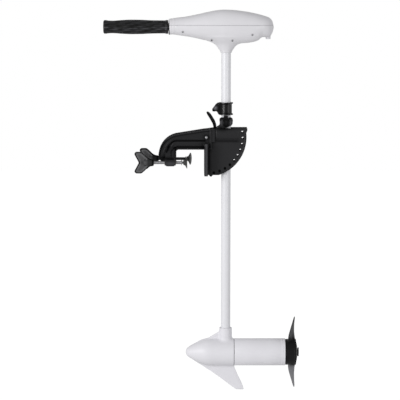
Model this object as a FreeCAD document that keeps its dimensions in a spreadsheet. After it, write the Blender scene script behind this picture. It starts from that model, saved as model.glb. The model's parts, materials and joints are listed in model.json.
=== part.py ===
import FreeCAD, Part
import math
import os
import Sketcher
from FreeCAD import Placement, Rotation, Vector

# Transom-mount electric trolling motor.
# Millimetres. +X points aft, away from the boat; +Z points up.
# The origin is the centre of the bracket's transom face, level with the two clamp screws.

SIZES = {
    # clamp bracket
    "web_thick": 11.0, "web_half": 62.0, "web_low": 41.0, "web_high": 56.0,
    "seat_high": 36.0, "screw_side": 56.0, "arm_wide": 10.0, "arm_reach": 137.0,
    "arm_root_top": 95.0, "arm_tip_top": 73.0, "arm_shoulder": 50.0, "arm_round": 66.0,
    "arm_foot": 10.0, "throat_reach": 84.0, "throat_round": 8.0, "root_long": 22.0,
    "bar_outer": 118.0, "bar_inner": 84.5, "bar_half": 10.5, "bar_reach": 68.0,
    "bar_round": 7.0, "gusset_side": 3.0, "gusset_high": 44.0, "floor_thick": 6.0,
    "nub_across": 20.2, "nub_radius": 5.0,
    "panel_sunk": 2.5, "panel_edge": 6.0, "rib_high": 61.0, "rib_half": 2.5,
    "pivot_across": 6.2, "pivot_high": 73.0, "pivot_radius": 4.0, "pivot_head": 5.5,
    "plate_radius": 119.8, "plate_inner": 20.5, "plate_thick": 4.5, "plate_top": 99.7,
    "plate_corner": 129.0, "plate_corner_drop": 6.0, "rim_wide": 4.5, "rim_proud": 1.5,
    "tilt_circle": 109.2, "tilt_hole": 4.2, "tilt_pitch": 9.6, "tilt_first": 8.1,
    # clamp screws
    "screw_radius": 4.75, "screw_long": 112.0, "far_face": 36.3, "near_back": 11.7,
    "insert_radius": 7.5, "running_gap": 0.05,
    "ball_radius": 6.2, "ball_back": 9.0, "pad_radius": 18.4, "pad_thick": 17.0, "pad_rim": 4.0,
    "knob_barrel": 9.4, "knob_barrel_long": 19.0, "wing_thick": 9.0, "wing_span": 32.5,
    "wing_long": 58.0, "ring_thick": 2.0, "ring_gap": 1.3,
    # tilt hinge
    "shaft_across": 65.35, "hinge_half": 20.0, "hinge_left": 14.5, "hinge_right": 86.0,
    "hinge_radius": 117.0, "lug_radius": 14.0, "hump_high": 106.5, "hump_left": 44.0,
    "neck_radius": 19.0, "neck_low": 104.0, "neck_high": 128.0,
    "bush_wall": 2.0, "bush_flange": 1.5, "bush_long": 24.0,
    "pin_radius": 3.5, "pin_long": 15.0, "pin_rest": 19.8,
    "lever_pivot_x": 31.5, "lever_pivot_z": 90.0, "lever_wide": 22.0, "lever_thick": 7.0,
    "lever_lean": 23.0, "lever_long": 60.0, "lever_pin": 2.5, "rod_radius": 2.8,
    # steering tension knob
    "tension_high": 118.0, "tension_front": 34.0, "tension_deep": 17.0, "tension_radius": 21.2,
    "stud_radius": 4.0, "shoe_radius": 7.0, "shoe_long": 8.0,
    # depth collar
    "collar_low": 138.3, "collar_high": 175.8, "collar_radius": 17.8, "collar_flange": 21.3,
    "flange_thick": 3.0, "thumb_high": 156.5, "thumb_radius": 15.5, "thumb_tip": 42.8,
    # shaft
    "shaft_radius": 14.3, "shaft_bore": 12.3, "shaft_top": 362.0, "shaft_low": 548.0,
    # control head
    "head_wall": 3.0, "head_split": 406.0, "flare_low": 324.0, "flare_radius": 17.2,
    "handle_high": 400.5, "handle_radius": 13.0, "handle_bore": 10.6, "handle_mouth": 106.5,
    "neck_ring_long": 9.0, "neck_ring_radius": 23.4,
    "grip_front": 107.5, "grip_back": 301.0, "switch_front": 100.0, "switch_long": 46.0,
    "gland_across": 190.5, "gland_low": 364.5, "gland_radius": 7.5, "cable_radius": 4.5,
    # lower unit
    "motor_high": 587.5, "motor_radius": 41.3, "motor_bore": 38.3, "nose_tip": 56.5,
    "seam_across": 91.5, "tube_end": 240.0, "bell_end": 247.0, "socket_radius": 19.6,
    "socket_top": 511.5, "skeg_thick": 7.0, "skeg_low": 706.0, "web_fin_thick": 8.0,
    "axle_radius": 4.0, "stack_radius": 26.0, "stack_front": 112.0, "stack_long": 92.0,
    "commutator_radius": 12.0, "magnet_inner": 28.0, "magnet_long": 100.0,
    # propeller
    "hub_front": 248.6, "hub_long": 31.4, "hub_radius": 39.5, "hub_dome": 5.3,
    "wing_nut_end": 289.0,
}

# Head stations from the handle to the tail: place along X, top, height of the widest line,
# underside, and half width.
HEAD_STATIONS = (
    (-103.0, 424.9, 401.5, 378.2, 23.4),
    (-82.0, 428.0, 403.0, 376.0, 26.0),
    (-45.0, 433.0, 405.0, 371.3, 32.0),
    (-10.0, 440.3, 406.0, 364.2, 38.0),
    (30.0, 448.7, 406.0, 356.3, 43.0),
    (65.0, 451.8, 406.0, 353.0, 46.0),
    (105.0, 448.3, 406.0, 352.2, 46.0),
    (145.0, 441.8, 405.0, 356.7, 43.0),
    (180.0, 432.7, 402.0, 367.5, 37.0),
    (198.0, 423.5, 400.0, 374.5, 28.0),
    (206.0, 409.0, 398.5, 387.0, 12.0),
)

NEAR, FAR = -1, 1
SIDES = {"near": NEAR, "far": FAR}
TURNS = {"X": Rotation(Vector(0, 1, 0), 90), "Y": Rotation(Vector(1, 0, 0), -90), "Z": Rotation()}

doc = FreeCAD.newDocument("TrollingMotor")
nodes = {}


class Dim:
    """A size kept together with the sheet expression that it comes from."""

    def __init__(self, text, number):
        self.text = text
        self.number = number

    def __add__(self, other):
        return Dim(f"({self.text} + {words(other)})", self.number + plain(other))

    def __radd__(self, other):
        return Dim(f"({words(other)} + {self.text})", plain(other) + self.number)

    def __sub__(self, other):
        return Dim(f"({self.text} - {words(other)})", self.number - plain(other))

    def __rsub__(self, other):
        return Dim(f"({words(other)} - {self.text})", plain(other) - self.number)

    def __mul__(self, other):
        return Dim(f"({self.text} * {words(other)})", self.number * plain(other))

    __rmul__ = __mul__

    def __truediv__(self, other):
        return Dim(f"({self.text} / {words(other)})", self.number / plain(other))

    def __neg__(self):
        return Dim(f"(-1 * {self.text})", -self.number)


def words(value):
    """The sheet expression of a Dim, or a plain number written out."""
    return value.text if isinstance(value, Dim) else repr(float(value))


def plain(value):
    """The number of a Dim, or the number itself."""
    return value.number if isinstance(value, Dim) else float(value)


def cosine(angle):
    return Dim(f"cos({words(angle)})", math.cos(math.radians(plain(angle))))


def sine(angle):
    return Dim(f"sin({words(angle)})", math.sin(math.radians(plain(angle))))


class Sizes:
    """The driving dimensions: one named spreadsheet cell each."""

    def __init__(self, sizes):
        sheet = doc.addObject("Spreadsheet::Sheet", "Sizes")
        for row, (alias, value) in enumerate(sizes.items(), start=1):
            sheet.set(f"A{row}", alias)
            sheet.set(f"B{row}", str(value))
            sheet.setAlias(f"B{row}", alias)
        doc.recompute()
        for alias in sizes:
            setattr(self, alias, Dim(f"Sizes.{alias}", float(sheet.get(alias))))


s = Sizes(SIZES)


# Helpers

def bind(item, name, value):
    """Set a property and tie it to the sheet when the value comes from there."""
    setattr(item, name, plain(value))
    if isinstance(value, Dim):
        item.setExpression(name, value.text)


def place(item, base, rotation=None):
    item.Placement = Placement(Vector(*[plain(v) for v in base]), rotation or Rotation())
    for name, value in zip("xyz", base):
        if isinstance(value, Dim):
            item.setExpression(f"Placement.Base.{name}", value.text)


def box(name, low, size):
    item = doc.addObject("Part::Box", name)
    for edge, value in zip(("Length", "Width", "Height"), size):
        bind(item, edge, value)
    place(item, low)
    return item


def rod(name, radius, length, base, axis="Z"):
    item = doc.addObject("Part::Cylinder", name)
    bind(item, "Radius", radius)
    bind(item, "Height", length)
    place(item, base, TURNS[axis])
    return item


def cone(name, radii, length, base, axis="Z"):
    item = doc.addObject("Part::Cone", name)
    bind(item, "Radius1", radii[0])
    bind(item, "Radius2", radii[1])
    bind(item, "Height", length)
    place(item, base, TURNS[axis])
    return item


def hexagon(name, radius, length, base, axis="Z"):
    item = doc.addObject("Part::Prism", name)
    item.Polygon = 6
    bind(item, "Circumradius", radius)
    bind(item, "Height", length)
    place(item, base, TURNS[axis])
    return item


def ball(name, radius, centre):
    item = doc.addObject("Part::Sphere", name)
    bind(item, "Radius", radius)
    place(item, centre)
    return item


def fuse(name, items):
    item = doc.addObject("Part::MultiFuse", name)
    item.Shapes = list(items)
    item.Refine = True
    return item


def cut(name, base, tools):
    item = doc.addObject("Part::Cut", name)
    item.Base = base
    item.Tool = tools[0] if len(tools) == 1 else fuse(name + "Tools", tools)
    item.Refine = True
    return item


def group(name, items):
    item = doc.addObject("Part::Compound", name)
    item.Links = list(items)
    return item


def feature(name, shape):
    item = doc.addObject("Part::Feature", name)
    item.Shape = shape
    item.Placement = Placement()
    return item


def node(label, item):
    """Register a finished sub-part under the name of its node."""
    item.Label = label
    nodes[label] = item
    return item


def new_body(name):
    return doc.addObject("PartDesign::Body", name)


def sketch_on(body, name, role, away=0.0):
    """A sketch on one of the body's origin planes, moved along that plane's normal."""
    sketch = body.newObject("Sketcher::SketchObject", name)
    plane = next(f for f in body.Origin.OriginFeatures if f.Role == role)
    sketch.AttachmentSupport = [(plane, "")]
    sketch.MapMode = "FlatFace"
    sketch.AttachmentOffset = Placement(Vector(0, 0, plain(away)), Rotation())
    if isinstance(away, Dim):
        sketch.setExpression("AttachmentOffset.Base.z", away.text)
    return sketch


def pin_point(sketch, geometry, end, across, up):
    """Hold one point of a sketch at a place measured from the sketch's origin."""
    for kind, value, axis in (("DistanceX", across, -2), ("DistanceY", up, -1)):
        if abs(plain(value)) < 1e-9:
            sketch.addConstraint(Sketcher.Constraint("PointOnObject", geometry, end, axis))
            continue
        index = sketch.addConstraint(
            Sketcher.Constraint(kind, -1, 1, geometry, end, plain(value)))
        if isinstance(value, Dim):
            sketch.setExpression(f"Constraints[{index}]", value.text)


def arc_through(start, end, radius):
    """A circular arc between two points; a positive radius bulges to the left of the way."""
    chord = end - start
    sagitta = abs(radius) - math.sqrt(radius ** 2 - (chord.Length / 2) ** 2)
    left = Vector(-chord.y, chord.x, 0).normalize()
    middle = (start + end) / 2 + left * math.copysign(sagitta, radius)
    return Part.Arc(start, middle, end)


def outline(sketch, corners):
    """Draw a closed outline. A corner is (across, up), or (across, up, radius) to start an arc."""
    first = sketch.GeometryCount
    points = [Vector(plain(c[0]), plain(c[1]), 0) for c in corners]
    for index, corner in enumerate(corners):
        start = points[index]
        end = points[(index + 1) % len(points)]
        if len(corner) == 2:
            sketch.addGeometry(Part.LineSegment(start, end))
        else:
            sketch.addGeometry(arc_through(start, end, plain(corner[2])))
    starts, ends = [], []
    for index, corner in enumerate(corners):
        turned_back = len(corner) == 3 and plain(corner[2]) > 0
        starts.append(2 if turned_back else 1)
        ends.append(1 if turned_back else 2)
    for index, corner in enumerate(corners):
        after = (index + 1) % len(corners)
        sketch.addConstraint(Sketcher.Constraint(
            "Coincident", first + index, ends[index], first + after, starts[after]))
        pin_point(sketch, first + index, starts[index], corner[0], corner[1])
        if len(corner) == 3:
            radius = corner[2] if plain(corner[2]) > 0 else -corner[2]
            held = sketch.addConstraint(
                Sketcher.Constraint("Radius", first + index, plain(radius)))
            if isinstance(radius, Dim):
                sketch.setExpression(f"Constraints[{held}]", radius.text)


def circle(sketch, across, up, radius):
    index = sketch.addGeometry(
        Part.Circle(Vector(plain(across), plain(up), 0), Vector(0, 0, 1), plain(radius)))
    pin_point(sketch, index, 3, across, up)
    held = sketch.addConstraint(Sketcher.Constraint("Radius", index, plain(radius)))
    if isinstance(radius, Dim):
        sketch.setExpression(f"Constraints[{held}]", radius.text)


def pad(body, sketch, length):
    item = body.newObject("PartDesign::Pad", sketch.Name + "Pad")
    item.Profile = sketch
    bind(item, "Length", length)
    return item


def pocket(body, sketch, length):
    item = body.newObject("PartDesign::Pocket", sketch.Name + "Pocket")
    item.Profile = sketch
    item.Reversed = True
    bind(item, "Length", length)
    return item


def turned(name, profile, axis, base=(0, 0, 0)):
    """A body revolved about its own X, Y or Z axis; the profile is (along, radius) pairs."""
    body = new_body(name)
    sketch = sketch_on(body, name + "Profile", "XY_Plane" if axis == "Y" else "XZ_Plane")
    if axis == "X":
        outline(sketch, [(c[0], c[1]) + tuple(c[2:]) for c in profile])
    else:
        outline(sketch, [(c[1], c[0]) + tuple(c[2:]) for c in profile])
    spin = body.newObject("PartDesign::Revolution", name + "Spin")
    spin.Profile = sketch
    spin.ReferenceAxis = (sketch, ["H_Axis"] if axis == "X" else ["V_Axis"])
    place(body, base)
    return body


def fillet_edges(body, name, radius, wanted):
    """Round the edges of a body whose middle point passes the test."""
    doc.recompute()
    base = body.Tip
    chosen = []
    for index, edge in enumerate(base.Shape.Edges, start=1):
        middle = edge.valueAt((edge.FirstParameter + edge.LastParameter) / 2)
        if wanted(middle, edge):
            chosen.append(f"Edge{index}")
    if not chosen:
        raise RuntimeError(f"{name}: no edge to round")
    item = body.newObject("PartDesign::Fillet", name)
    item.Base = (base, chosen)
    bind(item, "Radius", radius)
    return item


def along_y(edge):
    ends = [v.Point for v in edge.Vertexes]
    return len(ends) == 2 and abs((ends[1] - ends[0]).normalize().y) > 0.999


# Clamp bracket and what is bolted to it

def side_away(side, inner, thick):
    """Start of a pad along -Y that fills inner to inner + thick on one side."""
    return inner if side == NEAR else -(inner + thick)


def arm_outline(sketch):
    """C-shaped arm: flat seat underneath, sloping back, rounded shoulder and straight leg."""
    fall = (s.arm_root_top - s.arm_tip_top) / s.arm_reach
    outline(sketch, [
        (0.0, s.seat_high),
        (s.root_long, s.seat_high),
        (s.root_long, s.arm_root_top),
        (0.0, s.arm_root_top),
        (-s.arm_reach + s.arm_shoulder, s.arm_tip_top + fall * s.arm_shoulder, -s.arm_round),
        (-s.arm_reach, s.arm_tip_top - s.arm_shoulder),
        (-s.arm_reach, s.arm_foot),
        (-s.arm_reach + s.arm_foot, 0.0),
        (-s.throat_reach, 0.0),
        (-s.throat_reach, s.seat_high),
    ])


def quarter_outline(sketch):
    """Quarter-round plate that carries the row of tilt holes."""
    ear = s.plate_corner_drop
    ear_low = s.plate_top - ear * 2
    reach = Dim(
        f"sqrt({s.plate_radius.text} ^ 2 - {(ear_low - s.pivot_high).text} ^ 2)",
        math.sqrt(s.plate_radius.number ** 2 - (ear_low - s.pivot_high).number ** 2))
    foot = Dim(
        f"sqrt({s.plate_radius.text} ^ 2 - {(s.pivot_high + s.web_low).text} ^ 2)",
        math.sqrt(s.plate_radius.number ** 2 - (s.pivot_high + s.web_low).number ** 2))
    outline(sketch, [
        (0.0, -s.web_low),
        (s.pivot_across + foot, -s.web_low, -s.plate_radius),
        (s.pivot_across + reach, ear_low),
        (s.plate_corner, s.plate_top - ear),
        (s.plate_corner, s.plate_top),
        (s.root_long + s.web_thick, s.plate_top),
        (s.root_long, s.plate_top - ear / 2),
        (0.0, s.arm_root_top),
    ])


def rim_outline(sketch):
    """Raised band along the curved edge of a quarter plate."""
    inner = s.plate_radius - s.rim_wide
    high = s.plate_top - s.plate_corner_drop * 2 - s.pivot_high
    low = s.pivot_high + s.web_low

    def reach(radius, rise):
        return Dim(f"sqrt({radius.text} ^ 2 - {rise.text} ^ 2)",
                   math.sqrt(radius.number ** 2 - rise.number ** 2))

    outline(sketch, [
        (s.pivot_across + reach(s.plate_radius, low), -s.web_low, -s.plate_radius),
        (s.pivot_across + reach(s.plate_radius, high), s.pivot_high + high),
        (s.pivot_across + reach(inner, high), s.pivot_high + high, inner),
        (s.pivot_across + reach(inner, low), -s.web_low),
    ])


def tilt_angle(index):
    return s.tilt_first - index * s.tilt_pitch


def clamp_bracket():
    body = new_body("ClampBracket")
    web = sketch_on(body, "Web", "XY_Plane", -s.web_low)
    outline(web, [(0.0, -s.web_half), (s.web_thick, -s.web_half),
                  (s.web_thick, s.web_half), (0.0, s.web_half)])
    pad(body, web, s.web_low + s.web_high)
    for name, side in SIDES.items():
        arm = sketch_on(body, f"Arm_{name}", "XZ_Plane",
                        side_away(side, s.plate_inner, s.arm_wide))
        arm_outline(arm)
        pad(body, arm, s.arm_wide)
        plate = sketch_on(body, f"Plate_{name}", "XZ_Plane",
                          side_away(side, s.plate_inner, s.plate_thick))
        quarter_outline(plate)
        pad(body, plate, s.plate_thick)
        rim = sketch_on(body, f"Rim_{name}", "XZ_Plane",
                        side_away(side, s.plate_inner + s.plate_thick, s.rim_proud))
        rim_outline(rim)
        pad(body, rim, s.rim_proud)
        nub = sketch_on(body, f"Nub_{name}", "XZ_Plane",
                        side_away(side, s.plate_inner, s.plate_thick))
        circle(nub, s.nub_across, -s.web_low, s.nub_radius)
        pad(body, nub, s.plate_thick)
    foot_bar(body)
    round_arms(body)
    sink_panels(body)
    drill_bracket(body)
    return body


def foot_bar(body):
    """Floor between the arms, and the cross bar and gussets that carry the clamp screws."""
    outer = s.plate_inner + s.arm_wide
    floor = sketch_on(body, "ArmFloor", "XY_Plane", s.seat_high)
    left = -s.throat_reach + s.throat_round + 2.0
    outline(floor, [(left, -outer), (0.0, -outer), (0.0, outer), (left, outer)])
    pad(body, floor, s.floor_thick)
    bar = sketch_on(body, "FootBar", "XZ_Plane", -s.bar_reach)
    half = s.bar_half
    nip = s.bar_round
    outline(bar, [
        (-s.bar_outer, half - nip), (-s.bar_outer, nip - half, -nip),
        (nip - s.bar_outer, -half), (-s.bar_inner - nip, -half, -nip),
        (-s.bar_inner, nip - half), (-s.bar_inner, half - nip, -nip),
        (-s.bar_inner - nip, half), (nip - s.bar_outer, half, -nip)])
    pad(body, bar, s.bar_reach * 2)
    wedge = sketch_on(body, "Gussets", "YZ_Plane", -s.bar_outer + s.gusset_side)
    low = s.bar_half - s.bar_round
    outline(wedge, [(-s.bar_reach, low), (s.bar_reach, low),
                    (outer, s.gusset_high), (-outer, s.gusset_high)])
    pad(body, wedge, s.bar_outer - s.bar_inner - s.gusset_side * 2)
    window = sketch_on(body, "LegWindow", "YZ_Plane", -s.arm_reach)
    inner = s.plate_inner
    outline(window, [(-inner, half + 2.0), (inner, half + 2.0),
                     (inner, s.arm_root_top), (-inner, s.arm_root_top)])
    pocket(body, window, s.arm_reach - s.throat_reach - 4.0)


def round_arms(body):
    """Round the inner corner of each arm's throat."""
    throat = s.throat_reach.number
    seat = s.seat_high.number

    def throat_corner(middle, edge):
        return along_y(edge) and abs(middle.x + throat) < 0.01 and abs(middle.z - seat) < 0.01

    fillet_edges(body, "ThroatRound", s.throat_round, throat_corner)


def sink_panels(body):
    """Shallow panels on the outer faces of the arms, with a rib left between them."""
    fall = (s.arm_root_top - s.arm_tip_top) / s.arm_reach
    outer = s.plate_inner + s.arm_wide
    left = -s.throat_reach + s.panel_edge
    edge = s.panel_edge
    lower = [(left, s.seat_high + edge), (0.0, s.seat_high + edge),
             (0.0, s.rib_high - s.rib_half), (left, s.rib_high - s.rib_half)]
    upper = [(left, s.rib_high + s.rib_half), (0.0, s.rib_high + s.rib_half),
             (0.0, s.arm_root_top - edge), (left, s.arm_root_top - edge + left * fall)]
    for name, side in SIDES.items():
        away = outer - s.panel_sunk if side == NEAR else -outer
        sketch = sketch_on(body, f"Panels_{name}", "XZ_Plane", away)
        for corners in (lower, upper):
            outline(sketch, corners)
        pocket(body, sketch, s.panel_sunk)


def drill_bracket(body):
    """Tilt holes, the pivot bore and the two bores for the screw inserts."""
    reach = s.web_half + s.arm_wide
    holes = sketch_on(body, "TiltHoles", "XZ_Plane", -reach)
    for index in range(10):
        angle = tilt_angle(index)
        circle(holes, s.pivot_across + s.tilt_circle * cosine(angle),
               s.pivot_high + s.tilt_circle * sine(angle), s.tilt_hole)
    circle(holes, s.pivot_across, s.pivot_high, s.pivot_radius + s.running_gap)
    pocket(body, holes, reach * 2)
    bores = sketch_on(body, "InsertBores", "YZ_Plane", -s.arm_reach - s.arm_foot)
    for side in SIDES.values():
        circle(bores, side * s.screw_side, 0.0, s.insert_radius)
    pocket(body, bores, s.arm_reach + s.arm_foot - s.throat_reach / 2)


def pivot_hardware():
    """Bolt across both sides of the bracket, with its nut and two washers."""
    outer = s.plate_inner + s.arm_wide
    washer_thick = 1.6
    head_long = 5.0
    nut_long = 8.0
    shank = rod("PivotShank", s.pivot_radius, outer * 2 + washer_thick * 2 + nut_long,
                (s.pivot_across, -outer - washer_thick, s.pivot_high), "Y")
    head = rod("PivotHead", s.pivot_head, head_long,
               (s.pivot_across, -outer - washer_thick - head_long, s.pivot_high), "Y")
    socket = hexagon("PivotSocket", s.pivot_radius * 0.7, head_long / 2,
                     (s.pivot_across, -outer - washer_thick - head_long, s.pivot_high), "Y")
    node("pivot_bolt", cut("PivotBolt", fuse("PivotBoltBlank", [shank, head]), [socket]))
    nut = hexagon("PivotNutBlank", s.pivot_head * 1.15, nut_long,
                  (s.pivot_across, outer + washer_thick, s.pivot_high), "Y")
    bore = rod("PivotNutBore", s.pivot_radius, nut_long,
               (s.pivot_across, outer + washer_thick, s.pivot_high), "Y")
    node("pivot_nut", cut("PivotNut", nut, [bore]))
    rings = []
    for name, start in (("Near", -outer - washer_thick), ("Far", outer + 0.0)):
        disc = rod(f"Washer{name}Disc", s.pivot_head * 1.2, washer_thick,
                   (s.pivot_across, start, s.pivot_high), "Y")
        hole = rod(f"Washer{name}Hole", s.pivot_radius, washer_thick,
                   (s.pivot_across, start, s.pivot_high), "Y")
        rings.append(cut(f"Washer{name}", disc, [hole]))
    node("pivot_washers", group("PivotWashers", rings))


def screw_inserts():
    """Metal threaded sleeves moulded into the two ends of the cross bar."""
    sleeves = []
    for name, side in SIDES.items():
        start = (-s.bar_outer, side * s.screw_side, 0.0)
        long = s.bar_outer - s.bar_inner
        blank = rod(f"Sleeve_{name}", s.insert_radius, long, start, "X")
        bore = rod(f"SleeveBore_{name}", s.screw_radius + s.running_gap, long, start, "X")
        sleeves.append(cut(f"Insert_{name}", blank, [bore]))
    node("screw_inserts", group("ScrewInserts", sleeves))


# Clamp screws

def clamp_set(name, side, back):
    """One clamp screw: swivel pad, retaining ring, threaded rod with ball end, and wing knob."""
    across = side * s.screw_side
    face = -s.far_face - back
    ball_at = face - s.ball_back
    rod_start = ball_at - s.screw_long
    clamp_pad(name, across, face, ball_at)
    ring_at = face - s.pad_thick - s.ring_gap - s.ring_thick
    ring = rod(f"RingDisc_{name}", s.screw_radius + 3.0, s.ring_thick, (ring_at, across, 0.0), "X")
    hole = rod(f"RingHole_{name}", s.screw_radius + s.running_gap, s.ring_thick,
               (ring_at, across, 0.0), "X")
    node(f"pad_ring_{name}", cut(f"PadRing_{name}", ring, [hole]))
    shank = rod(f"ScrewShank_{name}", s.screw_radius, s.screw_long,
                (rod_start, across, 0.0), "X")
    end = ball(f"ScrewBall_{name}", s.ball_radius, (ball_at, across, 0.0))
    node(f"clamp_screw_{name}", fuse(f"ClampScrew_{name}", [shank, end]))
    wing_knob(name, across, rod_start)


def clamp_pad(name, across, face, ball_at):
    """Trumpet-shaped pad with a ball socket behind its flat face."""
    throat = s.ball_radius + 4.0
    blank = turned(f"PadBlank_{name}", [
        (-s.pad_thick, 0.0), (-s.pad_thick, throat - 1.0), (-s.pad_thick * 0.72, throat),
        (-s.pad_rim, s.pad_radius - 1.5), (-s.pad_rim / 2, s.pad_radius),
        (0.0, s.pad_radius), (0.0, 0.0)], "X", (face, across, 0.0))
    socket = ball(f"PadSocket_{name}", s.ball_radius + s.running_gap, (ball_at, across, 0.0))
    mouth = cone(f"PadMouth_{name}", (s.ball_radius + 0.8, s.screw_radius + 1.2),
                 ball_at - face + s.pad_thick, (face - s.pad_thick, across, 0.0), "X")
    node(f"clamp_pad_{name}", cut(f"ClampPad_{name}", blank, [socket, mouth]))


def wing_knob(name, across, rod_start):
    """Y-shaped hand knob: a barrel on the rod and two flat wings with sunk faces."""
    body = new_body(f"WingKnob_{name}")
    barrel_end = s.knob_barrel_long
    wings = sketch_on(body, f"Wings_{name}", "XZ_Plane", -s.wing_thick / 2)
    tip = s.wing_span
    long = s.wing_long
    outline(wings, [
        (0.0, -s.knob_barrel), (0.0, s.knob_barrel),
        (-s.knob_barrel_long / 2, s.knob_barrel + 1.0),
        (-long + 22.0, tip), (-long + 5.0, tip), (-long, tip - 7.0),
        (-long + 13.0, 0.0),
        (-long, 7.0 - tip), (-long + 5.0, -tip), (-long + 22.0, -tip),
        (-s.knob_barrel_long / 2, -s.knob_barrel - 1.0)])
    pad(body, wings, s.wing_thick)
    barrel = sketch_on(body, f"Barrel_{name}", "YZ_Plane", -barrel_end)
    circle(barrel, 0.0, 0.0, s.knob_barrel)
    pad(body, barrel, barrel_end)
    bore = sketch_on(body, f"RodBore_{name}", "YZ_Plane", -barrel_end)
    circle(bore, 0.0, 0.0, s.screw_radius)
    pocket(body, bore, barrel_end)
    tip_edges(body, name)
    place(body, (rod_start + barrel_end, across, 0.0))
    node(f"clamp_knob_{name}", body)


def tip_edges(body, name):
    """Soften the outer corners of the wings."""
    tip = s.wing_span.number

    def outer_corner(middle, edge):
        return along_y(edge) and abs(abs(middle.z) - tip) < 0.01

    fillet_edges(body, f"WingRound_{name}", 2.5, outer_corner)


# Tilt hinge

def lock_place():
    """Centre of the tilt hole that the lock pins line up with while the shaft is upright."""
    angle = tilt_angle(9)
    return (s.pivot_across + s.tilt_circle * cosine(angle),
            s.pivot_high + s.tilt_circle * sine(angle))


def hinge_block():
    """Swivel block between the quarter plates: pivot lug, shaft housing, neck and knob boss."""
    body = new_body("HingeBlock")
    start = -s.hinge_half
    radius = s.hinge_radius

    def rim_fall(across):
        side = across - s.pivot_across
        drop = math.sqrt(radius.number ** 2 - side.number ** 2)
        return s.pivot_high - Dim(f"sqrt({radius.text} ^ 2 - {side.text} ^ 2)", drop)

    main = sketch_on(body, "BlockSide", "XZ_Plane", start)
    lug_low = s.pivot_high - s.lug_radius
    lug_high = s.pivot_high + s.lug_radius
    outline(main, [
        (s.pivot_across, lug_low),
        (s.hinge_left, lug_low),
        (s.hinge_left, rim_fall(s.hinge_left), -radius),
        (s.hinge_right, rim_fall(s.hinge_right)),
        (s.hinge_right, s.plate_top - 1.5),
        (s.hinge_left, s.plate_top - 1.5),
        (s.pivot_across, lug_high, -s.lug_radius * 1.03)])
    pad(body, main, s.hinge_half * 2)
    hump_half = s.neck_radius
    hump = sketch_on(body, "Hump", "XZ_Plane", -hump_half)
    outline(hump, [
        (s.hump_left, s.pivot_high), (s.shaft_across, s.pivot_high),
        (s.shaft_across, s.hump_high), (s.hump_left + 4.0, s.hump_high),
        (s.hump_left, s.plate_top)])
    pad(body, hump, hump_half * 2)
    neck = sketch_on(body, "Neck", "XY_Plane", s.neck_low)
    circle(neck, s.shaft_across, 0.0, s.neck_radius)
    pad(body, neck, s.neck_high - s.neck_low)
    boss = sketch_on(body, "KnobBoss", "XZ_Plane", 0.0)
    circle(boss, s.shaft_across, s.tension_high, s.shoe_radius + 2.5)
    pad(body, boss, s.tension_front - 3.5)
    drill_hinge(body)
    return body


def drill_hinge(body):
    """Bores for the pivot bolt, shaft bushings, lock pins, pull rod, lever and brake shoe."""
    reach = s.hinge_half + s.arm_wide
    across_bores = sketch_on(body, "CrossBores", "XZ_Plane", -reach)
    circle(across_bores, s.pivot_across, s.pivot_high, s.pivot_radius + s.running_gap)
    pin_x, pin_z = lock_place()
    circle(across_bores, pin_x, pin_z, s.pin_radius + s.running_gap)
    circle(across_bores, s.lever_pivot_x, s.lever_pivot_z, s.lever_pin)
    pocket(body, across_bores, reach * 2)
    shaft_bore = sketch_on(body, "ShaftBore", "XY_Plane", -s.motor_radius - 20.0)
    circle(shaft_bore, s.shaft_across, 0.0, s.shaft_radius + s.bush_wall)
    pocket(body, shaft_bore, s.neck_high + s.motor_radius + 40.0)
    seats = sketch_on(body, "FlangeSeat", "XY_Plane", s.neck_high - s.bush_flange)
    circle(seats, s.shaft_across, 0.0, s.shaft_radius + s.bush_wall + s.bush_flange)
    pocket(body, seats, s.bush_flange * 2)
    rod_bore = sketch_on(body, "RodBore", "XY_Plane", -s.motor_radius - 20.0)
    circle(rod_bore, pin_x, 0.0, s.rod_radius + 0.2)
    pocket(body, rod_bore, s.plate_top + s.motor_radius + 40.0)
    slot = sketch_on(body, "LeverSlot", "XY_Plane", s.lever_pivot_z - 9.0)
    half = s.lever_wide / 2 + 0.6
    outline(slot, [(s.hinge_left + 3.0, -half), (s.hump_left - 1.0, -half),
                   (s.hump_left - 1.0, half), (s.hinge_left + 3.0, half)])
    pocket(body, slot, s.hump_high)
    shoe_bore = sketch_on(body, "ShoeBore", "XZ_Plane", s.shaft_radius)
    circle(shoe_bore, s.shaft_across, s.tension_high, s.shoe_radius + s.running_gap)
    pocket(body, shoe_bore, s.shoe_long + 3.0)
    stud_bore = sketch_on(body, "TensionStudBore", "XZ_Plane", s.shaft_radius)
    circle(stud_bore, s.shaft_across, s.tension_high, s.stud_radius + s.running_gap)
    pocket(body, stud_bore, s.tension_front)


def hinge_bushings():
    """Two flanged nylon sleeves that the shaft turns and slides in."""
    bore = s.shaft_radius + s.running_gap
    outer = s.shaft_radius + s.bush_wall
    flange = outer + s.bush_flange
    upper = turned("UpperBush", [
        (s.neck_high - s.bush_long, bore), (s.neck_high - s.bush_long, outer),
        (s.neck_high - s.bush_flange, outer), (s.neck_high - s.bush_flange, flange),
        (s.neck_high, flange), (s.neck_high, bore)], "Z", (s.shaft_across, 0.0, 0.0))
    notch = rod("UpperBushWindow", s.shoe_radius + s.running_gap, s.shaft_radius * 2,
                (s.shaft_across, -s.shaft_radius * 2, s.tension_high), "Y")
    node("hinge_bushing_upper", cut("HingeBushingUpper", upper, [notch]))
    low = Dim(f"({s.web_low.text} * -0.2)", s.web_low.number * -0.2)
    lower = turned("LowerBush", [
        (low, bore), (low, outer), (low + s.bush_long, outer), (low + s.bush_long, bore)],
        "Z", (s.shaft_across, 0.0, 0.0))
    node("hinge_bushing_lower", lower)


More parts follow.
